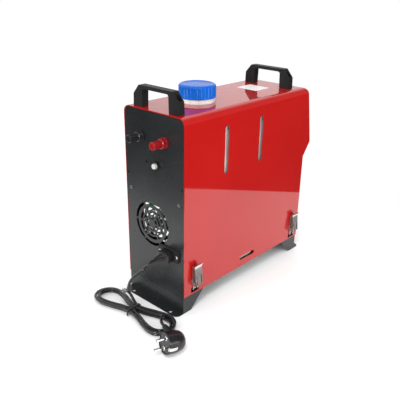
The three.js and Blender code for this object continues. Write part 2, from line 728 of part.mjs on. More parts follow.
// Exhaust: out of the casing floor, along the side in its heat wrap, and down through the tray.
const exhaustPath = [
  [232, -20, heater.bottom + 4], [231.1, -21.6, 58.6], [228.5, -26.2, 53.4], [224.9, -32.3, exhaust.z],
  [219.9, -41, exhaust.z], [211.9, -49, exhaust.z], [200.9, exhaust.side, exhaust.z], [176, exhaust.side, exhaust.z],
  [exhaust.hole + 14, exhaust.side, exhaust.z], [exhaust.hole + 7, exhaust.side, 49.6],
  [exhaust.hole + 1.9, exhaust.side, 44.5], [exhaust.hole, exhaust.side, 37.5], [exhaust.hole, exhaust.side, exhaust.end],
];
const exhaustBore = exhaust.radius - exhaust.wall;
const exhaustRoom = upright(block(exhaust.hole - 40, -halfWidth, heater.front, 0), 0, heater.bottom - gap);
place('exhaust_pipe', solid(tube(exhaustPath, exhaust.radius, 8, 13, exhaustBore)).intersect(exhaustRoom), 'aluminium');
const wrapEnds = [exhaust.hole + 17, exhaust.hole + 61];
place('exhaust_wrap', turnedX(
  ring(exhaust.radius + 2 * gap, exhaust.wrap, ...wrapEnds), exhaust.side, exhaust.z, 16), 'beige');
place('intake_pipe', turnedZ(
  ring(intake.radius - intake.wall, intake.radius, 18, heater.bottom - gap), intake.x, intake.y, 16), 'plastic');

// ---------- power supply behind the grille ----------
function psuCase() {
  const form = alongX(block(psu.left, psu.bottom, psu.right, psu.top, 2), psu.rear, psu.rear + psu.depth, 2);
  const holes = [];
  const rowStep = psu.pitch * Math.sin(pi / 3);
  const rows = Math.ceil(psu.reach / rowStep);
  const columns = Math.ceil(psu.reach / psu.pitch);
  const inside = (value, low, high) => value > low + psu.hole + 2 && value < high - psu.hole - 2;
  for (let row = -rows; row <= rows; row++) {
    const shift = row % 2 === 0 ? 0 : psu.pitch / 2;
    for (let column = -columns; column <= columns; column++) {
      const y = grille.y + column * psu.pitch + shift;
      const z = grille.z + row * rowStep;
      const seen = Math.hypot(y - grille.y, z - grille.z) < psu.reach;
      if (seen && inside(y, psu.left, psu.right) && inside(z, psu.bottom, psu.top)) {
        holes.push(alongX(disc(y, z, psu.hole, 6), psu.rear - 1, psu.rear + psu.blind));
      }
    }
  }
  // stand-offs to the panel, two of them behind the solid ring between the grille slots
  const spots = [
    ...standoff.angles.map((angle) => [
      grille.y + standoff.reach * Math.cos(rad(angle)), grille.z + standoff.reach * Math.sin(rad(angle)),
    ]),
    [standoff.side, psu.bottom + standoff.inset], [standoff.side, psu.top - standoff.inset],
  ];
  const standoffs = spots.map(([y, z]) => turnedX(rod(standoff.radius, sheet + 2 * gap, psu.rear + 1), y, z, 10));
  return join(cut(form, ...holes), ...standoffs);
}
place('psu_case', psuCase(), 'silver');

const boardZ = psu.top + gap;
place('psu_board', join(
  upright(block(psu.rear - 1, psu.left + 14, psu.rear + psu.depth - 4, psu.right - 1), boardZ, boardZ + 1.6),
  upright(block(psu.rear, psu.left + 24, psu.rear + 9, psu.right - 4), boardZ + 1, boardZ + 9),
  upright(disc(psu.rear + 24, psu.left + 40, 8, 16), boardZ + 1, boardZ + 15)), 'green');

// ---------- binding posts ----------
function postBase() {
  return join(
    turnedX(rod(collarRadius, -collarThickness, 0), 0, 0, 16),
    turnedX(rod(studRadius + 2, -1, sheet + 2 * gap + 1), 0, 0, 12),
    turnedX(rod(collarRadius - 1, sheet + 2 * gap, sheet + 2 * gap + 3), 0, 0, 6),
    turnedX(rod(studRadius, -postReach + 7, studInside), 0, 0, 12));
}
const washerFront = -collarThickness - gap;
const knobInner = washerFront - washerThickness - gap;
function postKnob() {
  const outer = turnedX([
    [0, -postReach], [knobRadius - 1, -postReach], [knobRadius, -postReach + 1],
    [knobRadius, knobInner - knobSkirt - 1], [knobSkirtRadius, knobInner - knobSkirt],
    [knobSkirtRadius, knobInner], [0, knobInner],
  ], 0, 0, 20);
  return cut(outer, turnedX(rod(studRadius + gap, -postReach + 3, knobInner + 1), 0, 0, 12));
}
for (const [name, side, colour] of [['black', 1, 'plastic'], ['red', -1, 'redPlastic']]) {
  const post = new THREE.Group();
  post.position.set(0, postMiddle + side * postSide, postHeight);
  body.add(post);
  place(`post_${name}_base`, postBase(), colour, post);
  place(`post_${name}_washer`, turnedX(
    ring(studRadius + gap, washerRadius, washerFront - washerThickness, washerFront), 0, 0, 16), 'silver', post);
  place(`post_${name}_knob`, postKnob(), colour, post);
}

// ---------- resettable breaker ----------
const breakerRear = sheet + 2 * gap;
place('breaker_body', cut(
  join(
    turnedX(rod(breaker.collar, -breaker.collarOut, 0), breaker.y, breaker.z, 20),
    turnedX(rod(breaker.collar - 1.9, -1, breakerRear + 1), breaker.y, breaker.z, 16),
    alongX(block(
      breaker.y - breaker.body / 2, breaker.z - breaker.body / 2 - 4,
      breaker.y + breaker.body / 2, breaker.z + breaker.body / 2 + 4, 2), breakerRear, breakerRear + breaker.depth, 2)),
  turnedX(rod(breaker.button + gap, -breaker.collarOut - 1, breakerRear + 14), breaker.y, breaker.z, 16)), 'plastic');
place('breaker_button', turnedX([
  [0, -breaker.out], [breaker.button - 1, -breaker.out], [breaker.button, -breaker.out + 1],
  [breaker.button, breakerRear + 8], [0, breakerRear + 8],
], breaker.y, breaker.z, 16), 'white');

// ---------- mains inlet and the connector in it ----------
const inletFront = -inlet.flange;
function inletBody() {
  const face = (length, height, radius) => block(
    inlet.y - length / 2, inlet.z - height / 2, inlet.y + length / 2, inlet.z + height / 2, radius);
  const form = join(
    alongX(face(inlet.flangeLength, inlet.flangeHeight, 5), inletFront, 0, 3),
    alongX(face(inlet.length, inlet.height, 1), -1, 18, 2));
  const hollow = cut(form, alongX(
    face(inletCavity.length, inletCavity.height, 1), inletFront - 1, inletFront + inletCavity.depth, 2));
  const screwHoles = [-1, 1].map((side) => alongX(
    disc(inlet.y + (side * inlet.screws) / 2, inlet.z, 1.8, 10), inletFront - 1, 1));
  const pins = inletPins(0).map((pin) => alongX(pin, inletFront + 3, inletFront + inletCavity.depth + 1));
  return join(cut(hollow, ...screwHoles), ...pins);
}
function inletPins(clearance) {
  return [[-inletPinSpan, -2], [0, 2], [inletPinSpan, -2]].map(([y, z]) => block(
    inlet.y + y - 1 - clearance, inlet.z + z - 2 - clearance, inlet.y + y + 1 + clearance, inlet.z + z + 2 + clearance));
}
place('inlet_body', inletBody(), 'plastic');

const reliefEnd = -inlet.flange - gap - connector.grip - connector.relief;
function connectorForm() {
  const start = inletFront - gap;
  const plugIn = alongX(block(
    inlet.y - inletCavity.length / 2 + gap, inlet.z - inletCavity.height / 2 + gap,
    inlet.y + inletCavity.length / 2 - gap, inlet.z + inletCavity.height / 2 - gap, 1), start - 1,
  inletFront + inletCavity.depth - 1, 2);
  const grip = alongX(block(
    inlet.y - connector.length / 2, inlet.z - connector.height / 2,
    inlet.y + connector.length / 2, inlet.z + connector.height / 2, 4), start - connector.grip, start, 3);
  const waist = start - connector.grip;
  const profile = [[0, reliefEnd]];
  const ribs = 3;
  const step = connector.relief / ribs;
  for (let i = 0; i < ribs; i++) {
    const radius = cordRadius + 1.6 + i * 0.7;
    const x = reliefEnd + i * step;
    profile.push([radius, x], [radius, x + step * 0.6], [radius - 1, x + step * 0.6], [radius - 1, x + step]);
  }
  profile.push([connector.height / 2 - 1, waist], [connector.height / 2 - 1, waist + 3], [0, waist + 3]);
  const relief = turnedX(profile, inlet.y, inlet.z, 10);
  const sockets = inletPins(gap).map((pin) => alongX(pin, inletFront + 2, inletFront + inletCavity.depth + 2));
  return cut(join(plugIn, grip, relief), ...sockets);
}
place('cord_connector', connectorForm(), 'plastic');

// ---------- toggle latches ----------
// Drawn for the -Y side at x = 0: out is the distance in front of the shell.
const outY = (out) => -halfWidth - out;
const bailPivot = { out: latch.pivotOut - latch.bailIn, z: latch.pivotZ + latch.bailUp };

function latchBase() {
  const half = latch.width / 2 + gap + latch.ear;
  const z = latch.pivotZ;
  const plateShape = outline([
    [-half, z - 5], [half, z - 5], [half, z + 5], [7, z + 9], [7, z + 32, 2], [-7, z + 32, 2], [-7, z + 9], [-half, z + 5],
  ]);
  const plate = acrossY(plateShape, outY(gap + latch.plate), outY(gap), 2);
  const ear = outline([
    [outY(gap), z - 5], [outY(gap), z + 5], [outY(latch.pivotOut + 2), z + 2.6, 1.5], [outY(latch.pivotOut + 2), z - 2.6, 1.5],
  ]);
  const ears = [-half, half - latch.ear].map((x) => alongX(ear, x, x + latch.ear, 2));
  const hole = turnedX(rod(latch.pin + 1.3 * gap, -half - 1, half + 1), outY(latch.pivotOut), z, 8);
  return cut(join(plate, ...ears), hole);
}

function latchLever() {
  const half = latch.width / 2;
  const at = (out, up) => [outY(latch.pivotOut + out), latch.pivotZ + up];
  const top = latch.leverLength;
  const web = outline([
    at(2.8, -3.5), at(-0.8, top), at(0.4, top + 2.4), at(3.2, top + 3.4), at(3.4, top + 2.5), at(1.2, top + 1.6),
    at(0.3, top - 0.3), at(3.8, -3.5),
  ]);
  const cheek = outline([
    at(3.2, -3.5), at(-1.6, -3.4), at(-4.9, 5.5), at(-4.9, 10), at(-2.6, 16), at(-2.9, top - 2), at(-0.2, top), at(1, 18),
  ]);
  const cheekInner = half - 1.1;
  const form = join(
    alongX(web, -half, half, 1),
    alongX(cheek, -half, -cheekInner, 1),
    alongX(cheek, cheekInner, half, 1),
    turnedX(rod(latch.pin, -half - gap - latch.ear, -cheekInner + 0.3), outY(latch.pivotOut), latch.pivotZ, 8),
    turnedX(rod(latch.pin, cheekInner - 0.3, half + gap + latch.ear), outY(latch.pivotOut), latch.pivotZ, 8));
  const legRoom = latch.wire + 1.5 * gap;
  const legSlots = [-latch.bailHalf, latch.bailHalf].map((x) => acrossY(
    block(x - legRoom, latch.pivotZ - 5, x + legRoom, latch.pivotZ + latch.slotTop),
    outY(latch.pivotOut + 5), outY(latch.pivotOut - 0.5)));
  return cut(form, turnedX(rod(latch.wire + gap, -half - 1, half + 1), outY(bailPivot.out), bailPivot.z, 8), ...legSlots);
}

function latchBail() {
  const leg = [
    [bailPivot.out, bailPivot.z], [bailPivot.out - 0.9, bailPivot.z - 9], [1.9, 49], [1.5, 45], [0.6, latch.hookZ + 0.7],
    [-1, latch.hookZ], [-latch.hookIn, latch.hookZ],
  ];
  const side = leg.map(([out, z]) => [-latch.bailHalf, outY(out), z]);
  const back = leg.map(([out, z]) => [latch.bailHalf, outY(out), z]).reverse();
  side[side.length - 1][0] += 0.6;
  back[0][0] -= 0.6;
  const wire = solid(tube([...side, ...back], latch.wire, 5, 14));
  const pivot = turnedX(rod(latch.wire, -latch.width / 2, latch.width / 2), outY(bailPivot.out), bailPivot.z, 8);
  return join(wire, pivot);
}

for (const [end, x] of Object.entries(latchXs)) {
  for (const [side, turn] of [['near', 0], ['far', pi]]) {
    const seat = new THREE.Group();
    seat.position.x = x;
    seat.rotation.z = turn;
    body.add(seat);
    place(`latch_${end}_${side}_base`, latchBase(), 'silver', seat);
    place(`latch_${end}_${side}_lever`, latchLever(), 'silver', seat);
    place(`latch_${end}_${side}_bail`, latchBail(), 'silver', seat);
  }
}

// ---------- control panel on the sloping front ----------
// Local frame of the slope: X outwards, Y across, Z up along the slope.
const buttonYs = Array.from({ length: control.buttons }, (_, i) => (i - (control.buttons - 1) / 2) * controlPitch);

function controlBezel() {
  const face = (inset, radius) => block(
    -control.width / 2 + inset, -control.height / 2 + inset, control.width / 2 - inset, control.height / 2 - inset, radius);
  const form = join(
    alongX(face(0, 6), gap, gap + control.proud, 3),
    alongX(face(control.border, 4), -control.depth, gap + 1, 3));
  const cuts = [alongX(block(-34, -4, 34, 24, 2), control.proud - 0.9, control.proud + 2, 2)];
  for (const y of buttonYs) {
    cuts.push(alongX(disc(y, -control.buttonDrop, control.buttonRadius + gap, 12), -6, control.proud + 2));
  }
  return cut(form, ...cuts);
}
place('control_bezel', controlBezel(), 'plastic', facing);
buttonYs.forEach((y, i) => {
  const front = gap + control.proud + buttonOut;
  const profile = [
    [0, -6 + gap + buttonTravel], [control.buttonRadius, -6 + gap + buttonTravel], [control.buttonRadius, front - 0.8],
    [control.buttonRadius - 0.8, front], [0, front],
  ];
  place(`control_button_${i + 1}`, turnedX(profile, y, -control.buttonDrop, 12), 'plastic', facing);
});

// ---------- mains cord ----------
// One loop of the hank is two runs, drawn in at the waist, and two half circles; turn counts whole loops.
function hankPoint(turn) {
  const spiral = THREE.MathUtils.clamp((turn - hank.narrowFrom) / (hank.narrowTo - hank.narrowFrom), 0, 1);
  const fall = THREE.MathUtils.smoothstep(turn, hank.fallFrom, hank.fallTo);
  const rise = 1 - fall + THREE.MathUtils.smoothstep(turn, hank.climbFrom, hank.climbTo);
  const half = hank.halfWidth - hank.pitch * spiral;
  const waistHalf = hank.waist - hank.waistPitch * spiral;
  const phase = (turn + hank.start) % 1;
  const quarter = Math.floor(phase * 4);
  const part = phase * 4 - quarter;
  const end = quarter < 2 ? 1 : -1;
  let x;
  let y;
  if (quarter % 2 === 0) {
    const run = hank.halfRun * (1 - 2 * part);
    const drawn = (1 + Math.cos((pi * run) / hank.halfRun)) / 2;
    x = end * (half + (waistHalf - half) * drawn);
    y = end * run;
  } else {
    x = end * half * Math.cos(pi * part);
    y = -end * (hank.halfRun + half * Math.sin(pi * part));
  }
  const lean = rad(hank.tilt);
  const z = cordRadius + gap + hank.layer * rise;
  return new THREE.Vector3(
    hank.x + x * Math.cos(lean) - y * Math.sin(lean), hank.y + x * Math.sin(lean) + y * Math.cos(lean), z);
}

const hankSteps = Math.round(hank.turns * hank.steps);
const hankPath = [];
for (let i = 0; i <= hankSteps; i++) hankPath.push(hankPoint((hank.turns * i) / hankSteps));

function hankForm() {
  const points = hankPath.map((p) => p.toArray());
  return tube(points, cordRadius, 6, hankSteps);
}

// least free gap between stretches of the hank that are not next to each other along the cord
function leastHankGap() {
  const curve = new THREE.CatmullRomCurve3(hankPath, false, 'centripetal');
  const samples = curve.getSpacedPoints(1500);
  const spacing = curve.getLength() / 1500;
  const skip = Math.ceil((6 * cordRadius) / spacing);
  let least = Infinity;
  for (let i = 0; i < samples.length; i++) {
    for (let j = i + skip; j < samples.length; j++) least = Math.min(least, samples[i].distanceTo(samples[j]));
  }
  return least - 2 * cordRadius;
}

const cordLead = [
  [reliefEnd - gap, inlet.y, inlet.z],
  [-44.1, -36.5, 110.2], [-51.9, -36.2, 107], [-58.4, -33.8, 102.1], [-62.7, -29.4, 96.2],
  [-65.9, -24.3, 90.2], [-68.8, -19.1, 84.1], [-71.1, -14.5, 77.3], [-72.2, -11, 69.6], [-72.1, -8.2, 61.5],
  [-71.3, -4.5, 54], [-70, 1.7, 48.3], [-68.2, 9.3, 44.8], [-64.9, 16.5, 41.6], [-59.7, 21.6, 37.4],
  [-53, 24.6, 32.6], [-46.6, 24.4, 26.6], [-43.2, 21.2, 19.4], [-43, 15.2, 12.8], [-44.8, 7.6, 9.5],
];
const plugTurn = rad(plug.heading);
const plugCord = new THREE.Vector3(
  Math.cos(plugTurn) * Math.cos(rad(plug.slope)), Math.sin(plugTurn) * Math.cos(rad(plug.slope)), -Math.sin(rad(plug.slope)));
const plugEntry = new THREE.Vector3(plug.x, plug.y, plug.z).addScaledVector(plugCord, plug.radius + plug.relief + gap);

const hankStart = hankPath[0];
const hankStartHeading = hankPath[1].clone().sub(hankPath[0]).normalize();
const hankEnd = hankPath.at(-1);
const hankEndHeading = hankPath.at(-1).clone().sub(hankPath.at(-2)).normalize();
const leadEnd = hankStart.clone().addScaledVector(hankStartHeading, -gap);
const leadRun = hankStart.clone().addScaledVector(hankStartHeading, -gap - cordRadius);
place('cord_lead', solid(tube([...cordLead, leadRun.toArray(), leadEnd.toArray()], cordRadius, 8, 34)), 'pvc');
place('cord_hank', hankForm(), 'pvc');

const tailStart = hankEnd.clone().addScaledVector(hankEndHeading, gap);
const cordTail = [
  tailStart.toArray(),
  [-39.8, -48.9, 9], [-39.4, -56, 10.7], [-41.3, -62.4, 13.6], [-45.1, -67.6, 17], [-50.5, -71.2, 20.4],
  [-56.6, -74.5, 22.7], [-62.3, -79.1, 23.2], [-66.3, -85.1, 22.9],
  plugEntry.toArray(),
];
place('cord_tail', solid(tube(cordTail, cordRadius, 8, 10)), 'pvc');

// Wire tie round the waist.
function tie() {
  const inner = hank.waist + cordRadius + 1;
  const top = 2 * cordRadius + hank.layer + 2 * gap;
  const rounding = cordRadius + gap;
  const loop = (grow) => block(-inner - grow, -5, inner + grow, top + grow, rounding + grow);
  const floor = block(-inner - 20, 0.05, inner + 20, top + 20);
  const band = cut(acrossY(loop(tieThickness), -tieWidth / 2, tieWidth / 2, 3), acrossY(loop(0), -tieWidth, tieWidth, 3));
  return band.intersect(acrossY(floor, -tieWidth, tieWidth));
}
const tieMesh = place('cord_tie', tie(), 'pvc');
tieMesh.position.set(hank.x, hank.y, 0);
tieMesh.rotation.z = rad(hank.tilt);

// Angled two-pin plug: drawn with its pins along +X and the cord leaving along -Y, then laid on the floor.
function plugForm() {
  const back = -plug.depth;
  const radius = plug.radius;
  const head = turnedX([
    [0, back], [radius - 9, back], [radius - 2.5, back + 6], [radius - 0.6, back + 14], [radius - 0.6, -17],
    [radius, -16], [radius, 0], [0, 0],
  ], 0, 0, 20);
  const flats = join(
    acrossY(block(-17, radius - 1.6, 1, radius + 2), -7, 7),
    acrossY(block(-17, -radius - 2, 1, -radius + 1.6), -7, 7));
  const spout = solid(turned([
    [0, radius - 8], [8.4, radius - 8], [8, radius + 2], [6.4, radius + 4], [cordRadius + 1.4, radius + plug.relief],
    [0, radius + plug.relief],
  ], 14).rotateZ(pi).translate(-23, 0, 0));
  const pins = [-1, 1].map((side) => turnedX([
    [0, -2], [plug.pin, -2], [plug.pin, plug.pinLength - 1.5], [plug.pin - 1.2, plug.pinLength], [0, plug.pinLength],
  ], 0, (side * plug.pinSpan) / 2, 12));
  return join(cut(head, flats.rotate([90, 0, 0])), spout, ...pins);
}
const plugMesh = place('plug_body', plugForm(), 'plastic');
plugMesh.geometry.translate(23, 0, 0);
plugMesh.position.set(plug.x, plug.y, plug.z);
plugMesh.rotation.order = 'ZXY';
plugMesh.rotation.set(rad(plug.slope), rad(-plug.tilt), plugTurn + pi / 2);

console.log('hank: least gap to itself', leastHankGap().toFixed(2), 'mm');
const lengthOf = (points) => new THREE.CatmullRomCurve3(
  points.map((p) => (p.isVector3 ? p : new THREE.Vector3(...p))), false, 'centripetal').getLength();
console.log('cord length', (lengthOf([...cordLead, leadEnd]) + lengthOf(hankPath) + lengthOf(cordTail)).toFixed(0), 'mm');

export default model;
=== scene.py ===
import json
import math

import bmesh
import bpy
from mathutils import Matrix, Vector


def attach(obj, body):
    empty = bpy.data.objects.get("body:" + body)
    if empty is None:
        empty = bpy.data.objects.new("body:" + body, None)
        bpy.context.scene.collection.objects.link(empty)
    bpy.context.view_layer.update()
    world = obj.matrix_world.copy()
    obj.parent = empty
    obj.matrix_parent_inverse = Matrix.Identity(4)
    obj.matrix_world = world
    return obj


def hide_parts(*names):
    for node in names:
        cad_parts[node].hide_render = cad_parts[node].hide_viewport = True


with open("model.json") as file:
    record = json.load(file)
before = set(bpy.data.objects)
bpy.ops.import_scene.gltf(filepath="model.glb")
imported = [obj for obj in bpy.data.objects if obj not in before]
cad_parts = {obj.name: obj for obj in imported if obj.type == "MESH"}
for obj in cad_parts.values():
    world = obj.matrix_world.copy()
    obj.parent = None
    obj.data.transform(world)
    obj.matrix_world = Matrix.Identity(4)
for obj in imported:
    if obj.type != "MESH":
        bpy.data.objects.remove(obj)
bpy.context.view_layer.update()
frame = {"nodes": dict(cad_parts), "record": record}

nodes = frame["nodes"]
mm = 0.001
rearX = -171.5  # the case's rear face in the frame, in millimetres


def spot(x, y, z):
    # a point measured from the case's rear face, in millimetres
    return Vector(((x + rearX) * mm, y * mm, z * mm))


# the camera stands where the photograph was taken from
view = {"place": (-0.75092, -0.6367, 0.56975), "yaw": 42.456, "pitch": 23.19, "roll": -0.913, "lens": 48.68,
        "sensor": 36, "nearest": 0.02}


def makeCamera():
    yaw, pitch, roll = (math.radians(view[key]) for key in ("yaw", "pitch", "roll"))
    ahead = Vector((math.cos(yaw) * math.cos(pitch), math.sin(yaw) * math.cos(pitch), -math.sin(pitch)))
    level = Vector((math.sin(yaw), -math.cos(yaw), 0))
    down = ahead.cross(level)
    right = math.cos(roll) * level + math.sin(roll) * down
    lower = -math.sin(roll) * level + math.cos(roll) * down
    turn = Matrix((right, -lower, -ahead)).transposed().to_4x4()
    data = bpy.data.cameras.new("photoCamera")
    data.lens = view["lens"]
    data.sensor_width = view["sensor"]
    data.clip_start = view["nearest"]
    camera = bpy.data.objects.new("photoCamera", data)
    bpy.context.scene.collection.objects.link(camera)
    camera.matrix_world = Matrix.Translation(view["place"]) @ turn
    bpy.context.scene.camera = camera
    bpy.context.scene.view_settings.view_transform = "Standard"


makeCamera()
print("camera ready")


# nodes of the materials
def addNode(tree, kind, settings=None, **inputs):
    made = tree.nodes.new(kind)
    for key, value in (settings or {}).items():
        setattr(made, key, value)
    for key, value in inputs.items():
        made.inputs[key.replace("_", " ")].default_value = value
    return made


def startMaterial(name, roughness, metallic=0.0):
    material = bpy.data.materials.new(name)
    material.use_nodes = True
    tree = material.node_tree
    shader = tree.nodes["Principled BSDF"]
    shader.inputs["Roughness"].default_value = roughness
    shader.inputs["Metallic"].default_value = metallic
    place = addNode(tree, "ShaderNodeTexCoord").outputs["Object"]
    return material, tree, shader, place


def noise(tree, place, scale, detail=2.0, stretch=None):
    # scale is the number of lumps in a metre
    if stretch:
        mapping = addNode(tree, "ShaderNodeMapping", Scale=stretch)
        tree.links.new(place, mapping.inputs["Vector"])
        place = mapping.outputs["Vector"]
    made = addNode(tree, "ShaderNodeTexNoise", Scale=scale, Detail=detail)
    tree.links.new(place, made.inputs["Vector"])
    return made.outputs["Fac"]


def spread(tree, source, low, high):
    # stretches a share of 0 to 1 over a range
    made = addNode(tree, "ShaderNodeMapRange", To_Min=low, To_Max=high)
    tree.links.new(source, made.inputs["Value"])
    return made.outputs["Result"]


def within(tree, source, low, high):
    # the other way round: how far a value lies between two limits
    made = addNode(tree, "ShaderNodeMapRange", From_Min=low, From_Max=high)
    tree.links.new(source, made.inputs["Value"])
    return made.outputs["Result"]


def axes(tree, source):
    made = addNode(tree, "ShaderNodeSeparateXYZ")
    tree.links.new(source, made.inputs["Vector"])
    return made.outputs


def ramp(tree, source, tones, span=(0.3, 0.7)):
    made = addNode(tree, "ShaderNodeValToRGB")
    for element, tone, position in zip(made.color_ramp.elements, tones, span):
        element.position = position
        element.color = (*tone, 1)
    tree.links.new(source, made.inputs["Fac"])
    return made.outputs["Color"]


def bump(tree, shader, height, depth):
    # depth in metres
    made = addNode(tree, "ShaderNodeBump", Strength=1.0, Distance=depth)
    tree.links.new(height, made.inputs["Height"])
    tree.links.new(made.outputs["Normal"], shader.inputs["Normal"])


def joinValues(tree, operation, first, second):
    # first and second are a number or a socket
    made = addNode(tree, "ShaderNodeMath", {"operation": operation})
    for index, value in enumerate((first, second)):
        if isinstance(value, (int, float)):
            made.inputs[index].default_value = value
        else:
            tree.links.new(value, made.inputs[index])
    return made.outputs["Value"]


def mixColours(tree, share, first, second):
    # first and second are a colour or a socket; the node keeps its colour sockets after its number ones
    sockets = {"share": 0, "first": 6, "second": 7, "result": 2}
    made = addNode(tree, "ShaderNodeMix", {"data_type": "RGBA"})
    tree.links.new(share, made.inputs[sockets["share"]])
    for key, value in (("first", first), ("second", second)):
        if isinstance(value, tuple):
            made.inputs[sockets[key]].default_value = value
        else:
            tree.links.new(value, made.inputs[sockets[key]])
    return made.outputs[sockets["result"]]


lacquerIndex = 1.62

# each finish: two close tones in soft patches, a fine grain, and a slightly uneven gloss; patch and grain are
# lumps in a metre, grainDepth is in metres
plainFinishes = {
    "casePaint": {"tones": ((0.38, 0.003, 0.0025), (0.42, 0.005, 0.0035)), "roughness": 0.5, "patch": 7,
                  "grain": 520, "grainDepth": 0.00003, "coat": 1.0, "coatRoughness": 0.04,
                  "specular": 0.05},
    "panelCoat": {"tones": ((0.011, 0.012, 0.013), (0.017, 0.018, 0.019)), "roughness": 0.26, "patch": 9,
                  "grain": 2600, "grainDepth": 0.00005, "roughSpread": 0.05, "specular": 0.5},
    "mouldedBlack": {"tones": ((0.012, 0.012, 0.013), (0.020, 0.020, 0.021)), "roughness": 0.44,
                     "patch": 30, "grain": 2200, "grainDepth": 0.00006, "specular": 0.16},
    "connectorBlack": {"tones": ((0.007, 0.007, 0.008), (0.012, 0.012, 0.013)), "roughness": 0.24,
                       "patch": 60, "grain": 3000, "grainDepth": 0.00003, "specular": 0.5},
    "capBlue": {"tones": ((0.001, 0.095, 0.48), (0.002, 0.12, 0.56)), "roughness": 0.2, "patch": 26,
                "grain": 1500, "grainDepth": 0.00004, "specular": 0.25},
    "postRed": {"tones": ((0.20, 0.003, 0.005), (0.26, 0.006, 0.008)), "roughness": 0.22, "patch": 50,
                "grain": 1800, "grainDepth": 0.00003},
    "postBlack": {"tones": ((0.010, 0.010, 0.011), (0.017, 0.017, 0.018)), "roughness": 0.24, "patch": 50,
                  "grain": 1800, "grainDepth": 0.00003},
    "buttonWhite": {"tones": ((0.46, 0.45, 0.43), (0.54, 0.53, 0.50)), "roughness": 0.35, "patch": 90,
                    "grain": 2500},
    "rubber": {"tones": ((0.018, 0.018, 0.018), (0.03, 0.03, 0.03)), "roughness": 0.7, "patch": 60,
               "grain": 2400, "grainDepth": 0.00008},
    "castAluminium": {"tones": ((0.5, 0.51, 0.52), (0.6, 0.61, 0.62)), "roughness": 0.5, "metallic": 1.0,
                      "patch": 40, "grain": 900, "grainDepth": 0.00015},
    "platedSteel": {"tones": ((0.62, 0.62, 0.61), (0.74, 0.74, 0.72)), "roughness": 0.24, "metallic": 1.0,
                    "patch": 60, "grain": 500, "grainDepth": 0.00001, "stretch": (1, 1, 8)},
    "latchPlate": {"tones": ((0.42, 0.42, 0.42), (0.56, 0.56, 0.55)), "roughness": 0.4, "metallic": 1.0,
                   "patch": 90, "grain": 700, "grainDepth": 0.00002},
    "ventSheet": {"tones": ((0.90, 0.91, 0.91), (0.98, 0.98, 0.98)), "roughness": 0.16, "metallic": 1.0,
                  "patch": 40, "grain": 600, "grainDepth": 0.00002},
    "darkSteel": {"tones": ((0.26, 0.26, 0.26), (0.36, 0.36, 0.36)), "roughness": 0.28, "metallic": 1.0,
                  "patch": 80, "grain": 900, "grainDepth": 0.00002},
    "nickel": {"tones": ((0.74, 0.73, 0.70), (0.82, 0.81, 0.79)), "roughness": 0.2, "metallic": 1.0,
               "patch": 80, "grain": 900, "grainDepth": 0.00001},
    "darkGlass": {"tones": ((0.006, 0.007, 0.009), (0.010, 0.011, 0.014)), "roughness": 0.08, "patch": 12,
                  "grain": 300, "grainDepth": 0.000002, "coat": 0.5, "coatRoughness": 0.03,
                  "roughSpread": 0.02},
    "greyPrint": {"tones": ((0.34, 0.35, 0.36), (0.42, 0.43, 0.44)), "roughness": 0.5, "patch": 90,
                  "grain": 2500},
    "blankLabel": {"tones": ((0.80, 0.79, 0.78), (0.86, 0.85, 0.84)), "roughness": 0.45, "patch": 20,
                   "grain": 1500, "grainDepth": 0.00002},
}


def plainFinish(name, tones, roughness, metallic=0.0, patch=14, grain=1400, grainDepth=0.00004, coat=0.0,
                coatRoughness=0.08, roughSpread=0.08, stretch=None, specular=None):
    material, tree, shader, place = startMaterial(name, roughness, metallic)
    tree.links.new(ramp(tree, noise(tree, place, patch, 4.0), tones), shader.inputs["Base Color"])
    gloss = spread(tree, noise(tree, place, patch * 6, 3.0), roughness - roughSpread, roughness + roughSpread)
    tree.links.new(gloss, shader.inputs["Roughness"])
    bump(tree, shader, noise(tree, place, grain, 2.0, stretch), grainDepth)
    shader.inputs["Coat Weight"].default_value = coat
    shader.inputs["Coat Roughness"].default_value = coatRoughness
    shader.inputs["Coat IOR"].default_value = lacquerIndex
    if specular is not None:
        shader.inputs["Specular IOR Level"].default_value = specular
    return material


# height is where the painted highlight on the lever's curled top begins and is complete, in the frame and in
# metres
leverGlint = {"height": (0.086, 0.0905), "dull": ((0.20, 0.20, 0.19), (0.30, 0.29, 0.28)),
        "bright": (0.86, 0.86, 0.84, 1), "roughness": (0.42, 0.16)}


def leverFinish():
    # a dull stamped plate with a painted highlight: above a height its curled top turns bright and smooth,
    # standing for the glint there
    material, tree, shader, place = startMaterial("leverSteel", 0.3, 1.0)
    # painted highlight: the share of the plate painted bright, rising with height
    glintShare = within(tree, axes(tree, place)["Z"], *leverGlint["height"])
    dull = ramp(tree, noise(tree, place, 90, 3.0), leverGlint["dull"])
    tree.links.new(mixColours(tree, glintShare, dull, leverGlint["bright"]), shader.inputs["Base Color"])
    tree.links.new(spread(tree, glintShare, *leverGlint["roughness"]), shader.inputs["Roughness"])
    bump(tree, shader, noise(tree, place, 700, 2.0), 0.00002)
    return material


def tankFinish():
    # cloudy polyethylene that lets a little light through
    material, tree, shader, place = startMaterial("tankPoly", 0.4)
    cloud = ramp(tree, noise(tree, place, 90, 5.0, (1, 1, 0.3)), ((0.62, 0.58, 0.57), (0.94, 0.92, 0.90)))
    tree.links.new(cloud, shader.inputs["Base Color"])
    shader.inputs["Subsurface Weight"].default_value = 0.25
    shader.inputs["Subsurface Radius"].default_value = (0.01, 0.008, 0.007)
    shader.inputs["Subsurface Scale"].default_value = 0.4
    bump(tree, shader, noise(tree, place, 380, 3.0), 0.00012)
    return material


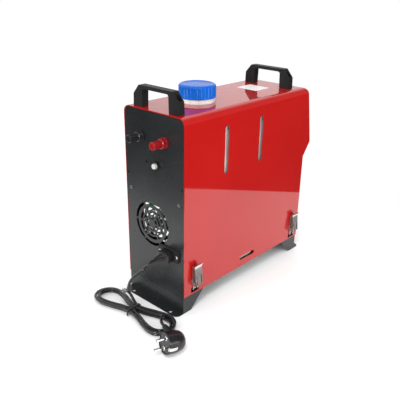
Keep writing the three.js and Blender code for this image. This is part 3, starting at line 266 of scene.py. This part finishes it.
def boardFinish():
    # green solder mask with paler tracks
    material, tree, shader, place = startMaterial("boardMask", 0.35)
    tracks = addNode(tree, "ShaderNodeTexBrick", Scale=90.0, Mortar_Size=0.03, Brick_Width=0.6,
                     Row_Height=0.22, Color1=(0.01, 0.12, 0.05, 1), Color2=(0.015, 0.16, 0.07, 1),
                     Mortar=(0.05, 0.3, 0.14, 1))
    tree.links.new(place, tracks.inputs["Vector"])
    tree.links.new(tracks.outputs["Color"], shader.inputs["Base Color"])
    bump(tree, shader, tracks.outputs["Fac"], 0.0002)
    return material


def wrapFinish():
    # woven glass-fibre sleeve, warp and weft over and under
    material, tree, shader, place = startMaterial("glassWrap", 0.85)
    threads = []
    for stretch in ((1, 1, 0), (1, -1, 1)):
        mapping = addNode(tree, "ShaderNodeMapping", Scale=stretch)
        tree.links.new(place, mapping.inputs["Vector"])
        wave = addNode(tree, "ShaderNodeTexWave", {"bands_direction": "DIAGONAL"}, Scale=170.0,
                       Distortion=1.2, Detail=2.0)
        tree.links.new(mapping.outputs["Vector"], wave.inputs["Vector"])
        threads.append(wave.outputs["Fac"])
    weave = joinValues(tree, "MAXIMUM", *threads)
    tones = ramp(tree, weave, ((0.66, 0.56, 0.42), (0.98, 0.92, 0.78)), (0.1, 0.9))
    tree.links.new(tones, shader.inputs["Base Color"])
    bump(tree, shader, weave, 0.0006)
    return material


# limits of the shell's inside in the frame, in metres, where painted shade darkens it: the top one lies under
# the rounded edges of the roof
insideShade = {"front": 0.168, "side": 0.0712, "top": 0.338, "tone": (0.012, 0.010, 0.010, 1)}


def shadeInside(material):
    # the shell is glossy outside only: inside these limits its paint turns near-black and dull, painted shade
    # standing for the dark inside of the case
    tree = material.node_tree
    shader = tree.nodes["Principled BSDF"]
    at = axes(tree, addNode(tree, "ShaderNodeTexCoord").outputs["Object"])
    across = joinValues(tree, "ABSOLUTE", at["Y"], 0)
    inside = joinValues(tree, "LESS_THAN", at["X"], insideShade["front"])
    for value, limit in ((across, insideShade["side"]), (at["Z"], insideShade["top"])):
        inside = joinValues(tree, "MULTIPLY", inside, joinValues(tree, "LESS_THAN", value, limit))
    outer = shader.inputs["Base Color"].links[0].from_socket
    # painted shade: near-black colour inside the limits
    tree.links.new(mixColours(tree, inside, outer, insideShade["tone"]), shader.inputs["Base Color"])
    tree.links.new(joinValues(tree, "SUBTRACT", 1, inside), shader.inputs["Coat Weight"])


def cordFinish():
    # extruded sheath: a glossy skin over faint mottling and a fine grain
    material, tree, shader, place = startMaterial("cordSheath", 0.3)
    shader.inputs["Specular IOR Level"].default_value = 0.1
    shader.inputs["Coat Weight"].default_value = 1.0
    shader.inputs["Coat Roughness"].default_value = 0.05
    mottle = ramp(tree, noise(tree, place, 120, 4.0), ((0.002, 0.002, 0.002), (0.005, 0.005, 0.006)))
    tree.links.new(mottle, shader.inputs["Base Color"])
    tree.links.new(spread(tree, noise(tree, place, 300, 3.0), 0.28, 0.45), shader.inputs["Roughness"])
    bump(tree, shader, noise(tree, place, 1600, 2.0), 0.00005)
    return material


finishes = {name: plainFinish(name, **settings) for name, settings in plainFinishes.items()}
for make in (leverFinish, tankFinish, boardFinish, wrapFinish, cordFinish):
    made = make()
    finishes[made.name] = made
shadeInside(finishes["casePaint"])
print("materials ready:", len(finishes))


# tools for the pieces
weld = {"gap": 0.00001, "flatWithin": 0.6, "latheGap": 0.000001}
# turns a form drawn on XY to stand across the case: its X goes along Y, its Y up and its Z along X
standing = Matrix(((0, 0, 1, 0), (1, 0, 0, 0), (0, 1, 0, 0), (0, 0, 0, 1)))


def closeMesh(form, name, finish, body, angle=35, bevel=0.0, steps=2, replaces=()):
    # turns a bmesh into a piece of the object, with smooth faces and crisp edges
    data = bpy.data.meshes.new(name)
    form.to_mesh(data)
    form.free()
    piece = bpy.data.objects.new(name, data)
    bpy.context.scene.collection.objects.link(piece)
    for key in (finish if isinstance(finish, tuple) else (finish,)):
        data.materials.append(finishes[key])
    data.shade_smooth()
    data.set_sharp_from_angle(angle=math.radians(angle))
    if bevel:
        rounding = piece.modifiers.new("edges", "BEVEL")
        rounding.width = bevel * mm
        rounding.segments = steps
        rounding.limit_method = "ANGLE"
        rounding.angle_limit = math.radians(angle)
        flat = piece.modifiers.new("normals", "WEIGHTED_NORMAL")
        flat.keep_sharp = True
    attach(piece, body)
    if replaces:
        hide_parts(*replaces)
    return piece


def bodyOf(node):
    for body, members in frame["record"]["behaviour"]["bodies"].items():
        if node in members:
            return body
    return "case"


def copyOf(node):
    form = bmesh.new()
    form.from_mesh(nodes[node].data)
    bmesh.ops.remove_doubles(form, verts=form.verts, dist=weld["gap"])
    flat = math.radians(weld["flatWithin"])
    bmesh.ops.dissolve_limit(form, angle_limit=flat, verts=form.verts, edges=form.edges)
    return form


def dress(node, finish, bevel, steps=2):
    # the node's own shape with its edges broken and its faces smoothed
    return closeMesh(copyOf(node), node + "_look", finish, bodyOf(node), bevel=bevel,
                     steps=steps, replaces=(node,))


def addForm(target, source):
    # puts one bmesh into another
    data = bpy.data.meshes.new("part")
    source.to_mesh(data)
    source.free()
    target.from_mesh(data)
    bpy.data.meshes.remove(data)


def along(axis, at):
    # turns local Z to a direction and moves it to a point
    turn = Vector(axis).to_track_quat("Z", "Y").to_matrix().to_4x4()
    return Matrix.Translation(at) @ turn


def lathe(profile, steps):
    # profile: (radius, height) pairs in millimetres, spun round Z
    form = bmesh.new()
    last = None
    edges = []
    for radius, height in profile:
        vert = form.verts.new((radius * mm, 0, height * mm))
        if last:
            edges.append(form.edges.new((last, vert)))
        last = vert
    bmesh.ops.spin(form, geom=form.verts[:] + edges, cent=(0, 0, 0), axis=(0, 0, 1), angle=2 * math.pi,
                   steps=steps, use_merge=True)
    bmesh.ops.remove_doubles(form, verts=form.verts, dist=weld["latheGap"])
    bmesh.ops.recalc_face_normals(form, faces=form.faces)
    return form


def bevelAll(form, offset, segments=2, sharper=30):
    # rounds every edge where two faces meet at more than so many degrees
    limit = math.radians(sharper)
    edges = [edge for edge in form.edges if len(edge.link_faces) == 2 and edge.calc_face_angle(0) > limit]
    bmesh.ops.bevel(form, geom=edges, affect="EDGES", offset=offset * mm, offset_type="OFFSET",
                    segments=segments, profile=0.5, material=-1, clamp_overlap=True)


def plate(points, depth, rounding=0.0):
    # outline in millimetres on XY, given its thickness along Z, corners rounded first
    form = bmesh.new()
    face = form.faces.new([form.verts.new((x * mm, y * mm, 0)) for x, y in points])
    if rounding:
        bmesh.ops.bevel(form, geom=form.verts[:], affect="VERTICES", offset=rounding * mm,
                        offset_type="OFFSET", segments=3, profile=0.5, material=-1, clamp_overlap=True)
    made = bmesh.ops.extrude_face_region(form, geom=form.faces[:])
    raised = [item for item in made["geom"] if isinstance(item, bmesh.types.BMVert)]
    bmesh.ops.translate(form, verts=raised, vec=(0, 0, depth * mm))
    bmesh.ops.recalc_face_normals(form, faces=form.faces)
    return form


def moved(form, matrix):
    bmesh.ops.transform(form, matrix=matrix, verts=form.verts)
    return form


# floor, world and lamps
studio = {"floorTone": 0.97, "floorLevel": -0.0003,
          "floorCorners": ((-0.5, -1.421), (3.75, 3.75), (-0.5, 3.75)), "worldLight": 1.06,
          "below": 0.008, "room": 0.16, "horizon": (-0.06, 0.02), "backdrop": (-0.2, 0.2),
          "ceiling": (0.86, 0.94)}
lamps = {
    "keyLamp": {"place": (0.1, -1.9, 0.5), "target": (0, 0, 0.12), "size": 0.7, "power": 9.0},
    "fillLamp": {"place": (-1.9, -0.5, 0.55), "target": (-0.17, 0, 0.15), "size": 0.5, "power": 15.0},
    "highLamp": {"place": (-0.75, -0.55, 1.2), "target": (-0.25, -0.1, 0), "size": 0.22, "power": 4.5},
}


def grey(tone):
    return (tone, tone, tone, 1)


def makeFloor():
    # a pale table: past its edges the painted side and the rear panel mirror the dark room
    form = bmesh.new()
    form.faces.new([form.verts.new((x, y, studio["floorLevel"])) for x, y in studio["floorCorners"]])
    data = bpy.data.meshes.new("studioFloor")
    form.to_mesh(data)
    form.free()
    floor = bpy.data.objects.new("studioFloor", data)
    bpy.context.scene.collection.objects.link(floor)
    material, _, shader, _ = startMaterial("paleTable", 0.9)
    shader.inputs["Base Color"].default_value = grey(studio["floorTone"])
    shader.inputs["Specular IOR Level"].default_value = 0.0
    data.materials.append(material)


def makeWorld():
    # white where the lens sees it; what mirrors see is a white backdrop and ceiling, a dim room in front, and
    # darkness past the table's edges
    world = bpy.data.worlds.new("studioWorld")
    bpy.context.scene.world = world
    world.use_nodes = True
    tree = world.node_tree
    tree.nodes.clear()
    output = addNode(tree, "ShaderNodeOutputWorld")
    rays = addNode(tree, "ShaderNodeLightPath").outputs
    towards = axes(tree, addNode(tree, "ShaderNodeTexCoord").outputs["Generated"])
    above = within(tree, towards["Z"], *studio["horizon"])
    behind = within(tree, towards["Y"], *studio["backdrop"])
    overhead = within(tree, towards["Z"], *studio["ceiling"])
    room = mixColours(tree, joinValues(tree, "MAXIMUM", behind, overhead), grey(studio["room"]), grey(1))
    mirrored = mixColours(tree, above, grey(studio["below"]), room)
    soft = mixColours(tree, rays["Is Glossy Ray"], grey(studio["worldLight"]), mirrored)
    clear = joinValues(tree, "MAXIMUM", rays["Is Camera Ray"], rays["Is Transmission Ray"])
    light = addNode(tree, "ShaderNodeBackground", Strength=1.0)
    tree.links.new(mixColours(tree, clear, soft, grey(1)), light.inputs["Color"])
    tree.links.new(light.outputs["Background"], output.inputs["Surface"])


def makeLamp(name, place, target, size, power):
    data = bpy.data.lights.new(name, "AREA")
    data.shape = "DISK"
    data.size = size
    data.energy = power
    lamp = bpy.data.objects.new(name, data)
    bpy.context.scene.collection.objects.link(lamp)
    aim = Vector(target) - Vector(place)
    lamp.matrix_world = Matrix.Translation(place) @ aim.to_track_quat("-Z", "Y").to_matrix().to_4x4()


makeFloor()
makeWorld()
for name, settings in lamps.items():
    makeLamp(name, **settings)
print("studio ready")


# mains cord: one length from the connector, through the hank, to the plug
cordSize = {"radius": 2.6, "seat": 0.3}
cordLead = [(-35.6, -36.5, 110.5), (-44.1, -36.5, 110.2), (-51.9, -36.2, 107), (-58.4, -33.8, 102.1),
            (-62.7, -29.4, 96.2), (-65.9, -24.3, 90.2), (-68.8, -19.1, 84.1), (-71.1, -14.5, 77.3),
            (-72.2, -11, 69.6), (-72.1, -8.2, 61.5), (-71.3, -4.5, 54), (-70, 1.7, 48.3),
            (-68.2, 9.3, 44.8), (-64.9, 16.5, 41.6), (-59.7, 21.6, 37.4), (-53, 24.6, 32.6),
            (-46.6, 24.4, 26.6), (-43.2, 21.2, 19.4), (-43, 15.2, 12.8), (-44.8, 7.6, 9.5)]
hank = {"x": -57.5, "y": -2.5, "tilt": 1.5, "halfWidth": 26, "halfRun": 66, "pitch": 6.6, "waist": 11.2,
        "waistPitch": 6.4, "layer": 5.8, "turns": 3.08, "start": 0.12, "narrow": (1.05, 1.95),
        "fall": (0.6, 0.96), "climb": (2.05, 2.4), "steps": 24}
cordTail = [(-39.8, -48.9, 9), (-39.4, -56, 10.7), (-41.3, -62.4, 13.6), (-45.1, -67.6, 17),
            (-50.5, -71.2, 20.4), (-56.6, -74.5, 22.7), (-62.3, -79.1, 23.2), (-66.3, -85.1, 22.9),
            (-68.2, -92.1, 22.2)]


def passed(value, span):
    # how far a value has gone through a span, from 0 to 1
    return min(max((value - span[0]) / (span[1] - span[0]), 0), 1)


def smoothPassed(value, span):
    share = passed(value, span)
    return share * share * (3 - 2 * share)


def hankPoint(turn):
    # one loop is two runs, drawn in at the waist, and two half circles; the ends lie on top
    spiral = passed(turn, hank["narrow"])
    rise = 1 - smoothPassed(turn, hank["fall"]) + smoothPassed(turn, hank["climb"])
    half = hank["halfWidth"] - hank["pitch"] * spiral
    waistHalf = hank["waist"] - hank["waistPitch"] * spiral
    phase = (turn + hank["start"]) % 1
    quarter = math.floor(phase * 4)
    share = phase * 4 - quarter
    end = 1 if quarter < 2 else -1
    if quarter % 2 == 0:
        run = hank["halfRun"] * (1 - 2 * share)
        drawn = (1 + math.cos(math.pi * run / hank["halfRun"])) / 2
        x = end * (half + (waistHalf - half) * drawn)
        y = end * run
    else:
        x = end * half * math.cos(math.pi * share)
        y = -end * (hank["halfRun"] + half * math.sin(math.pi * share))
    lean = math.radians(hank["tilt"])
    cosine, sine = math.cos(lean), math.sin(lean)
    z = cordSize["radius"] + cordSize["seat"] + hank["layer"] * rise
    return hank["x"] + x * cosine - y * sine, hank["y"] + x * sine + y * cosine, z


def makeCord():
    count = round(hank["turns"] * hank["steps"])
    wound = [hankPoint(hank["turns"] * step / count) for step in range(count + 1)]
    route = [spot(*point) for point in cordLead + wound + cordTail]
    data = bpy.data.curves.new("mainsCord", "CURVE")
    data.dimensions = "3D"
    data.bevel_depth = cordSize["radius"] * mm
    data.bevel_resolution = 5
    data.resolution_u = 5
    data.use_fill_caps = True
    line = data.splines.new("BEZIER")
    line.bezier_points.add(len(route) - 1)
    for knot, at in zip(line.bezier_points, route):
        knot.co = at
        knot.handle_left_type = knot.handle_right_type = "AUTO"
    cord = bpy.data.objects.new("mainsCord", data)
    bpy.context.scene.collection.objects.link(cord)
    data.materials.append(finishes["cordSheath"])
    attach(cord, "case")
    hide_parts("cord_lead", "cord_hank", "cord_tail")
    return cord


cordPiece = makeCord()
print("cord laid")


# plug: drawn with its pins along X and the cord leaving along -Y
plug = {"x": -78, "y": -131.4, "z": 17.9, "heading": 76, "slope": -6, "tilt": 10, "face": 23,
        "radius": 18.4, "recess": -1.2, "flat": 16.8, "flatHalf": 7.4, "flatRun": 16.5, "pinSpan": 19,
        "pinRadius": 2.4, "pinLength": 19, "clipWidth": 6}
relief = {"ribs": 5, "start": 21.2, "pitch": 3.8, "radius": 6.6, "taper": 0.5, "end": 40.2,
          "endRadius": 3.6}


def plugMatrix():
    heading = Matrix.Rotation(math.radians(plug["heading"] + 90), 4, "Z")
    slope = Matrix.Rotation(math.radians(plug["slope"]), 4, "X")
    tilt = Matrix.Rotation(math.radians(-plug["tilt"]), 4, "Y")
    return Matrix.Translation(spot(plug["x"], plug["y"], plug["z"])) @ (heading @ slope @ tilt)


def plugHead():
    # a domed back, a collar a little wider than it, and a face sunk inside a rim
    r, sunk = plug["radius"], plug["recess"]
    profile = [(0, -36), (5, -35.8), (9.6, -34.6), (13.2, -32.2), (15.9, -28.6), (17.2, -24), (17.7, -19),
               (17.7, -17), (r, -16.3), (r, -1), (r - 0.9, 0), (r - 1.8, 0), (r - 2.4, sunk), (6, sunk),
               (0, sunk)]
    form = moved(lathe(profile, 72), along((1, 0, 0), (plug["face"] * mm, 0, 0)))
    for vert in form.verts:
        # the two flats that the earth clips lie in
        flat = abs(vert.co.y) > plug["flat"] * mm and abs(vert.co.z) < plug["flatHalf"] * mm
        if flat and vert.co.x > (plug["face"] - plug["flatRun"]) * mm:
            vert.co.y = math.copysign(plug["flat"] * mm, vert.co.y)
    return form


def plugSpout():
    # tapered relief, ribbed over its outer half
    start, radius = relief["start"], relief["radius"]
    profile = [(0, 8), (8.7, 8), (8.6, 14), (8.1, 17.6), (7.2, 20), (radius, start)]
    for rib in range(relief["ribs"]):
        at = start + rib * relief["pitch"]
        outer = radius - relief["taper"] * rib
        profile += [(outer, at), (outer - 0.15, at + 2.2), (outer - 1.1, at + 2.5), (outer - 1.2, at + 3.5)]
    profile += [(relief["endRadius"], relief["end"]), (0, relief["end"])]
    return moved(lathe(profile, 40), along((0, -1, 0), (0, 0, 0)))


def plugPins():
    # round pins with a domed end, each in a collar of the face
    tip, radius = plug["pinLength"], plug["pinRadius"]
    pin = [(0, -3), (radius, -3), (radius, tip - 2.4), (2.1, tip - 1.1), (1.4, tip - 0.3), (0.7, tip),
           (0, tip)]
    collar = [(0, -2), (3.6, -2), (3.6, -0.9), (3.1, -0.5), (2.5, -0.5), (0, -0.5)]
    form = bmesh.new()
    for side in (-1, 1):
        at = (plug["face"] * mm, 0, side * plug["pinSpan"] / 2 * mm)
        for profile in (pin, collar):
            addForm(form, moved(lathe(profile, 28), along((1, 0, 0), at)))
    return form


def plugClips():
    # sprung strips of the earth contact, one in each flat and hooked over the rim
    strip = [(-15.2, 17), (-12, 17.7), (-8, 18), (-4, 17.8), (-1.2, 17.3), (0.2, 16.4), (0.5, 14.6),
             (-0.2, 14.5), (-0.5, 16), (-1.6, 16.7), (-4, 17.1), (-8, 17.3), (-12, 17), (-15, 16.3)]
    form = bmesh.new()
    for side in (-1, 1):
        clip = plate([(plug["face"] + x, side * y) for x, y in strip], plug["clipWidth"])
        addForm(form, moved(clip, Matrix.Translation((0, 0, -plug["clipWidth"] / 2 * mm))))
    return form


def makePlug():
    body = plugHead()
    addForm(body, plugSpout())
    at = plugMatrix()
    return [
        closeMesh(moved(body, at), "plugBody", "connectorBlack", "case", angle=40,
                  replaces=("plug_body",)),
        closeMesh(moved(plugPins(), at), "plugPins", "nickel", "case"),
        closeMesh(moved(plugClips(), at), "plugClips", "nickel", "case", angle=30),
    ]


plugPieces = makePlug()
print("plug made")


# connector in the mains inlet
connector = {"y": -36.5, "z": 110.5, "length": 26, "height": 19, "chamfer": 4.5, "rounding": 1.5,
             "front": -3.3, "grip": 15.5, "tongueLength": 23.4, "tongueHeight": 15.8, "tongueDepth": 12,
             "tongueRounding": 1.4}
boot = {"ribs": 4, "end": -32.5, "start": -32, "pitch": 3.9, "radius": 4.5, "growth": 0.75}


def bootProfile():
    # the connector's own relief, wider towards the grip and sunk in it at last
    end = boot["end"]
    profile = [(0, end), (3.3, end), (3.5, end + 0.3)]
    for rib in range(boot["ribs"]):
        at = boot["start"] + rib * boot["pitch"]
        outer = boot["radius"] + boot["growth"] * rib
        profile += [(outer - 0.9, at), (outer, at + 0.3), (outer + 0.15, at + 2.6), (outer - 0.7, at + 3)]
    return profile + [(8.4, -15.9), (8.8, -12), (0, -12)]


def makeConnector():
    c = connector
    half, tall, cut = c["length"] / 2, c["height"] / 2, c["chamfer"]
    outline = [(-half, -tall), (half, -tall), (half, tall - cut), (half - cut, tall), (-half + cut, tall),
               (-half, tall - cut)]
    form = plate(outline, c["grip"])
    bevelAll(form, c["rounding"], 3, 20)
    moved(form, Matrix.Translation((0, 0, -c["grip"] * mm)))
    addForm(form, lathe(bootProfile(), 40))
    wide, high = c["tongueLength"] / 2, c["tongueHeight"] / 2
    tongue = [(-wide, -high), (wide, -high), (wide, high), (-wide, high)]
    addForm(form, plate(tongue, c["tongueDepth"], c["tongueRounding"]))
    moved(form, Matrix.Translation(spot(c["front"], c["y"], c["z"])) @ standing)
    bmesh.ops.recalc_face_normals(form, faces=form.faces)
    closeMesh(form, "mainsConnector", "connectorBlack", "case", replaces=("cord_connector",))


makeConnector()
print("connector made")


# screws: pan heads, with a black cross of painted shade standing for the recess
screws = {
    "inletScrews": {"spots": [(-3, connector["y"] + side * 20, connector["z"]) for side in (-1, 1)],
                    "axis": (-1, 0, 0), "radius": 3.1, "height": 1.7, "finish": "nickel"},
    "panelScrews": {"spots": [(0, side * 59.5, 209) for side in (-1, 1)],
                    "axis": (-1, 0, 0), "radius": 2.9, "height": 1.4, "finish": "darkSteel"},
    "handleScrews": {"spots": [(x, side * 45.5, 362.4) for x in (12.5, 313) for side in (-1, 1)],
                     "axis": (0, 0, 1), "radius": 3.1, "height": 2.0, "finish": "nickel"},
}


def screw(radius, height):
    head = [(0, -0.4), (radius, -0.4), (radius, height * 0.3), (radius * 0.92, height * 0.62),
            (radius * 0.66, height * 0.9), (0, height)]
    form = lathe(head, 32)
    arm, half = radius * 0.56, radius * 0.13
    cross = [(arm, -half), (arm, half), (half, half), (half, arm), (-half, arm), (-half, half), (-arm, half),
             (-arm, -half), (-half, -half), (-half, -arm), (half, -arm), (half, -half)]
    # the cross is painted shade: a thin black plate where the recess would lie in shadow
    mark = moved(plate(cross, 0.3), Matrix.Translation((0, 0, (height - 0.22) * mm)))
    for face in mark.faces:
        face.material_index = 1
    addForm(form, mark)
    return form


def makeScrews(name, spots, axis, radius, height, finish):
    form = bmesh.new()
    for at in spots:
        addForm(form, moved(screw(radius, height), along(axis, spot(*at))))
    closeMesh(form, name, (finish, "mouldedBlack"), "case")


for name, settings in screws.items():
    makeScrews(name, **settings)
print("screws made")


# filler cap: ribbed skirt, stepped rim and a flat top with a raised ring
cap = {"x": 107, "y": 2, "bottom": 364.9, "ribs": 24, "samples": 8, "ribShape": 0.7}
# height over the cap's bottom, radius, and depth of the grooves there: down inside the skirt, round its lower
# edge, up its ribs, over the rim and in across the top
capLevels = [(19.2, 20, 0), (19.2, 28.5, 0), (0, 28.6, 0), (0, 33, 0), (0.5, 33.3, 0), (2, 33.3, 0),
             (2.5, 33, 0.5), (3, 33, 1.4), (18.2, 33, 1.4), (19.8, 32.7, 1.1), (21.2, 31.6, 0.5),
             (22.2, 30.2, 0.1), (22.6, 29, 0), (22.6, 26.4, 0), (22.1, 25.6, 0), (22.1, 12, 0)]


def stack(form, rings):
    # grows a closed solid ring by ring, each with the same count of points; an extruded face stays behind
    # inside the solid and is deleted, but for the first one, which closes it
    face = first = form.faces.new([form.verts.new(point) for point in rings[0]])
    for before, ring in zip(rings, rings[1:]):
        made = bmesh.ops.extrude_face_region(form, geom=[face])["geom"]
        if face.is_valid and face != first:
            bmesh.ops.delete(form, geom=[face], context="FACES_ONLY")
        face = next(item for item in made if isinstance(item, bmesh.types.BMFace))
        for vert in face.verts:
            nearest = min(zip(before, ring), key=lambda pair: (pair[0] - vert.co).length)
            vert.co = nearest[1]
    bmesh.ops.recalc_face_normals(form, faces=form.faces)


def capRing(height, radius, depth):
    ring = []
    count = cap["ribs"] * cap["samples"]
    for step in range(count):
        angle = 2 * math.pi * step / count
        wave = abs(math.sin(cap["ribs"] * angle / 2)) ** cap["ribShape"]
        reach = (radius - depth * (1 - wave)) * mm
        out = Vector((reach * math.cos(angle), reach * math.sin(angle), 0))
        ring.append(spot(cap["x"], cap["y"], cap["bottom"] + height) + out)
    return ring


def makeCap():
    form = bmesh.new()
    stack(form, [capRing(*level) for level in capLevels])
    closeMesh(form, "fillerCap", "capBlue", "cap", angle=50, replaces=("filler_cap",))


makeCap()
print("cap made")


# blank label on the roof
label = {"x": (248, 290), "y": (-20, 28), "z": 357.02, "thick": 0.14, "rounding": 1.6}


def makeLabel():
    (x0, x1), (y0, y1) = label["x"], label["y"]
    form = plate([(x0, y0), (x1, y0), (x1, y1), (x0, y1)], label["thick"], label["rounding"])
    moved(form, Matrix.Translation(spot(0, 0, label["z"])))
    closeMesh(form, "blankSticker", "blankLabel", "case")


makeLabel()
print("label laid")


# vent holes of the power supply's cover, seen through the grille, with painted shade in them
vents = {"y": 7.5, "z": 153, "rear": 8, "pitch": 10.5, "hole": 3.8, "edge": 2, "blind": 3, "reach": 34,
         "left": -48, "right": 37, "bottom": 123, "top": 186}


def makeVentShade():
    # a black disc at the bottom of each blind hole: painted shade standing for the dark inside seen through
    # the holes
    v = vents
    rise = v["pitch"] * math.sin(math.pi / 3)
    clear = v["hole"] + v["edge"]
    form = bmesh.new()
    rows = math.ceil(v["reach"] / rise)
    columns = math.ceil(v["reach"] / v["pitch"])
    for row in range(-rows, rows + 1):
        for column in range(-columns, columns + 1):
            y = v["y"] + column * v["pitch"] + (0 if row % 2 == 0 else v["pitch"] / 2)
            z = v["z"] + row * rise
            near = math.hypot(y - v["y"], z - v["z"]) < v["reach"]
            across = v["left"] + clear < y < v["right"] - clear
            if near and across and v["bottom"] + clear < z < v["top"] - clear:
                disc = lathe([(0, 0), (3.2, 0), (3.4, 0.4), (0, 0.4)], 20)
                addForm(form, moved(disc, along((-1, 0, 0), spot(v["rear"] + v["blind"] - 0.05, y, z))))
    closeMesh(form, "ventShadeDiscs", "mouldedBlack", "case")


makeVentShade()
print("vents made")


# display and button marks on the sloping front: X out of the slope, Y across, Z up along it
control = {"x": (350, 372), "z": (243, 357), "floor": 2.14, "front": 5.78, "drop": -17, "pitch": 19}
display = {"width": 66.8, "bottom": -3.4, "top": 23.4, "thick": 0.9, "rounding": 1.4, "edge": 0.25}
markHeight = 0.16


def slopeMatrix():
    (x0, x1), (z0, z1) = control["x"], control["z"]
    lean = math.atan2(x1 - x0, z1 - z0)
    return Matrix.Translation(spot((x0 + x1) / 2, 0, (z0 + z1) / 2)) @ Matrix.Rotation(-lean, 4, "Y")


def onSlope(form, out, y=0, z=0):
    # a plate drawn on XY is laid on the slope with its first axis across and its second upwards
    return moved(form, slopeMatrix() @ Matrix.Translation((out * mm, y * mm, z * mm)) @ standing)


def makeDisplay():
    half, bottom, top = display["width"] / 2, display["bottom"], display["top"]
    outline = [(-half, bottom), (half, bottom), (half, top), (-half, top)]
    glass = plate(outline, display["thick"], display["rounding"])
    bevelAll(glass, display["edge"])
    closeMesh(onSlope(glass, control["floor"]), "displayGlass", "darkGlass", "case")


def makeMarks():
    # plain raised marks: power, down, up and enter
    ring = [(1.5, 0), (2.3, 0), (2.3, markHeight), (1.5, markHeight), (1.5, 0)]
    down = [(-2.2, 1.3), (0, -2), (2.2, 1.3)]
    up = [(-2.2, -1.3), (2.2, -1.3), (0, 2)]
    square = [(-1.7, -1.7), (1.7, -1.7), (1.7, 1.7), (-1.7, 1.7)]
    shapes = [lathe(ring, 32), plate(down, markHeight), plate(up, markHeight), plate(square, markHeight, 0.5)]
    for number, shape in enumerate(shapes, 1):
        y = (number - 2.5) * control["pitch"]
        form = onSlope(shape, control["front"], y, control["drop"])
        closeMesh(form, f"buttonMark{number}", "greyPrint", f"button_{number}")


makeDisplay()
makeMarks()
print("control panel finished")


# the nodes' own shapes, with edges broken and finishes given
dress("shell", "casePaint", bevel=0.35)
dress("rear_panel", "panelCoat", bevel=0.6)
dress("base_plate", "panelCoat", bevel=0.3)
for end in ("rear", "front"):
    dress(end + "_foot", "panelCoat", bevel=0.6)
    dress("handle_" + end, "mouldedBlack", bevel=0.7, steps=3)
    for side in ("near", "far"):
        dress(f"latch_{end}_{side}_base", "latchPlate", bevel=0.15)
        dress(f"latch_{end}_{side}_lever", "leverSteel", bevel=0.2)
        dress(f"latch_{end}_{side}_bail", "platedSteel", bevel=0.15)
dress("fuel_tank", "tankPoly", bevel=0.6)
dress("cap_seal", "rubber", bevel=0.2)
for name in ("tank_shelf", "heater_cradle"):
    dress(name, "panelCoat", bevel=0.2)
for name in ("heater_casing", "outlet_hood", "outlet_ring", "outlet_louvre", "fan_motor", "fan_impeller",
             "breaker_body", "inlet_body", "control_bezel", "intake_pipe",
             *(f"control_button_{number}" for number in range(1, 5))):
    dress(name, "mouldedBlack", bevel=0.3)
for colour, finish in (("black", "postBlack"), ("red", "postRed")):
    dress(f"post_{colour}_base", finish, bevel=0.3)
    dress(f"post_{colour}_knob", finish, bevel=0.3)
dress("breaker_button", "buttonWhite", bevel=0.3)
for name in ("heat_exchanger", "fuel_pump"):
    dress(name, "castAluminium", bevel=0.4)
for name in ("post_black_washer", "post_red_washer", "exhaust_pipe"):
    dress(name, "platedSteel", bevel=0.15)
dress("psu_case", "ventSheet", bevel=0.15)
dress("exhaust_wrap", "glassWrap", bevel=0.4)
dress("psu_board", "boardMask", bevel=0.1)
dress("hose_tank", "rubber", bevel=0)
dress("hose_heater", "rubber", bevel=0)
tiePiece = dress("cord_tie", "rubber", bevel=0.15)
print("nodes dressed")
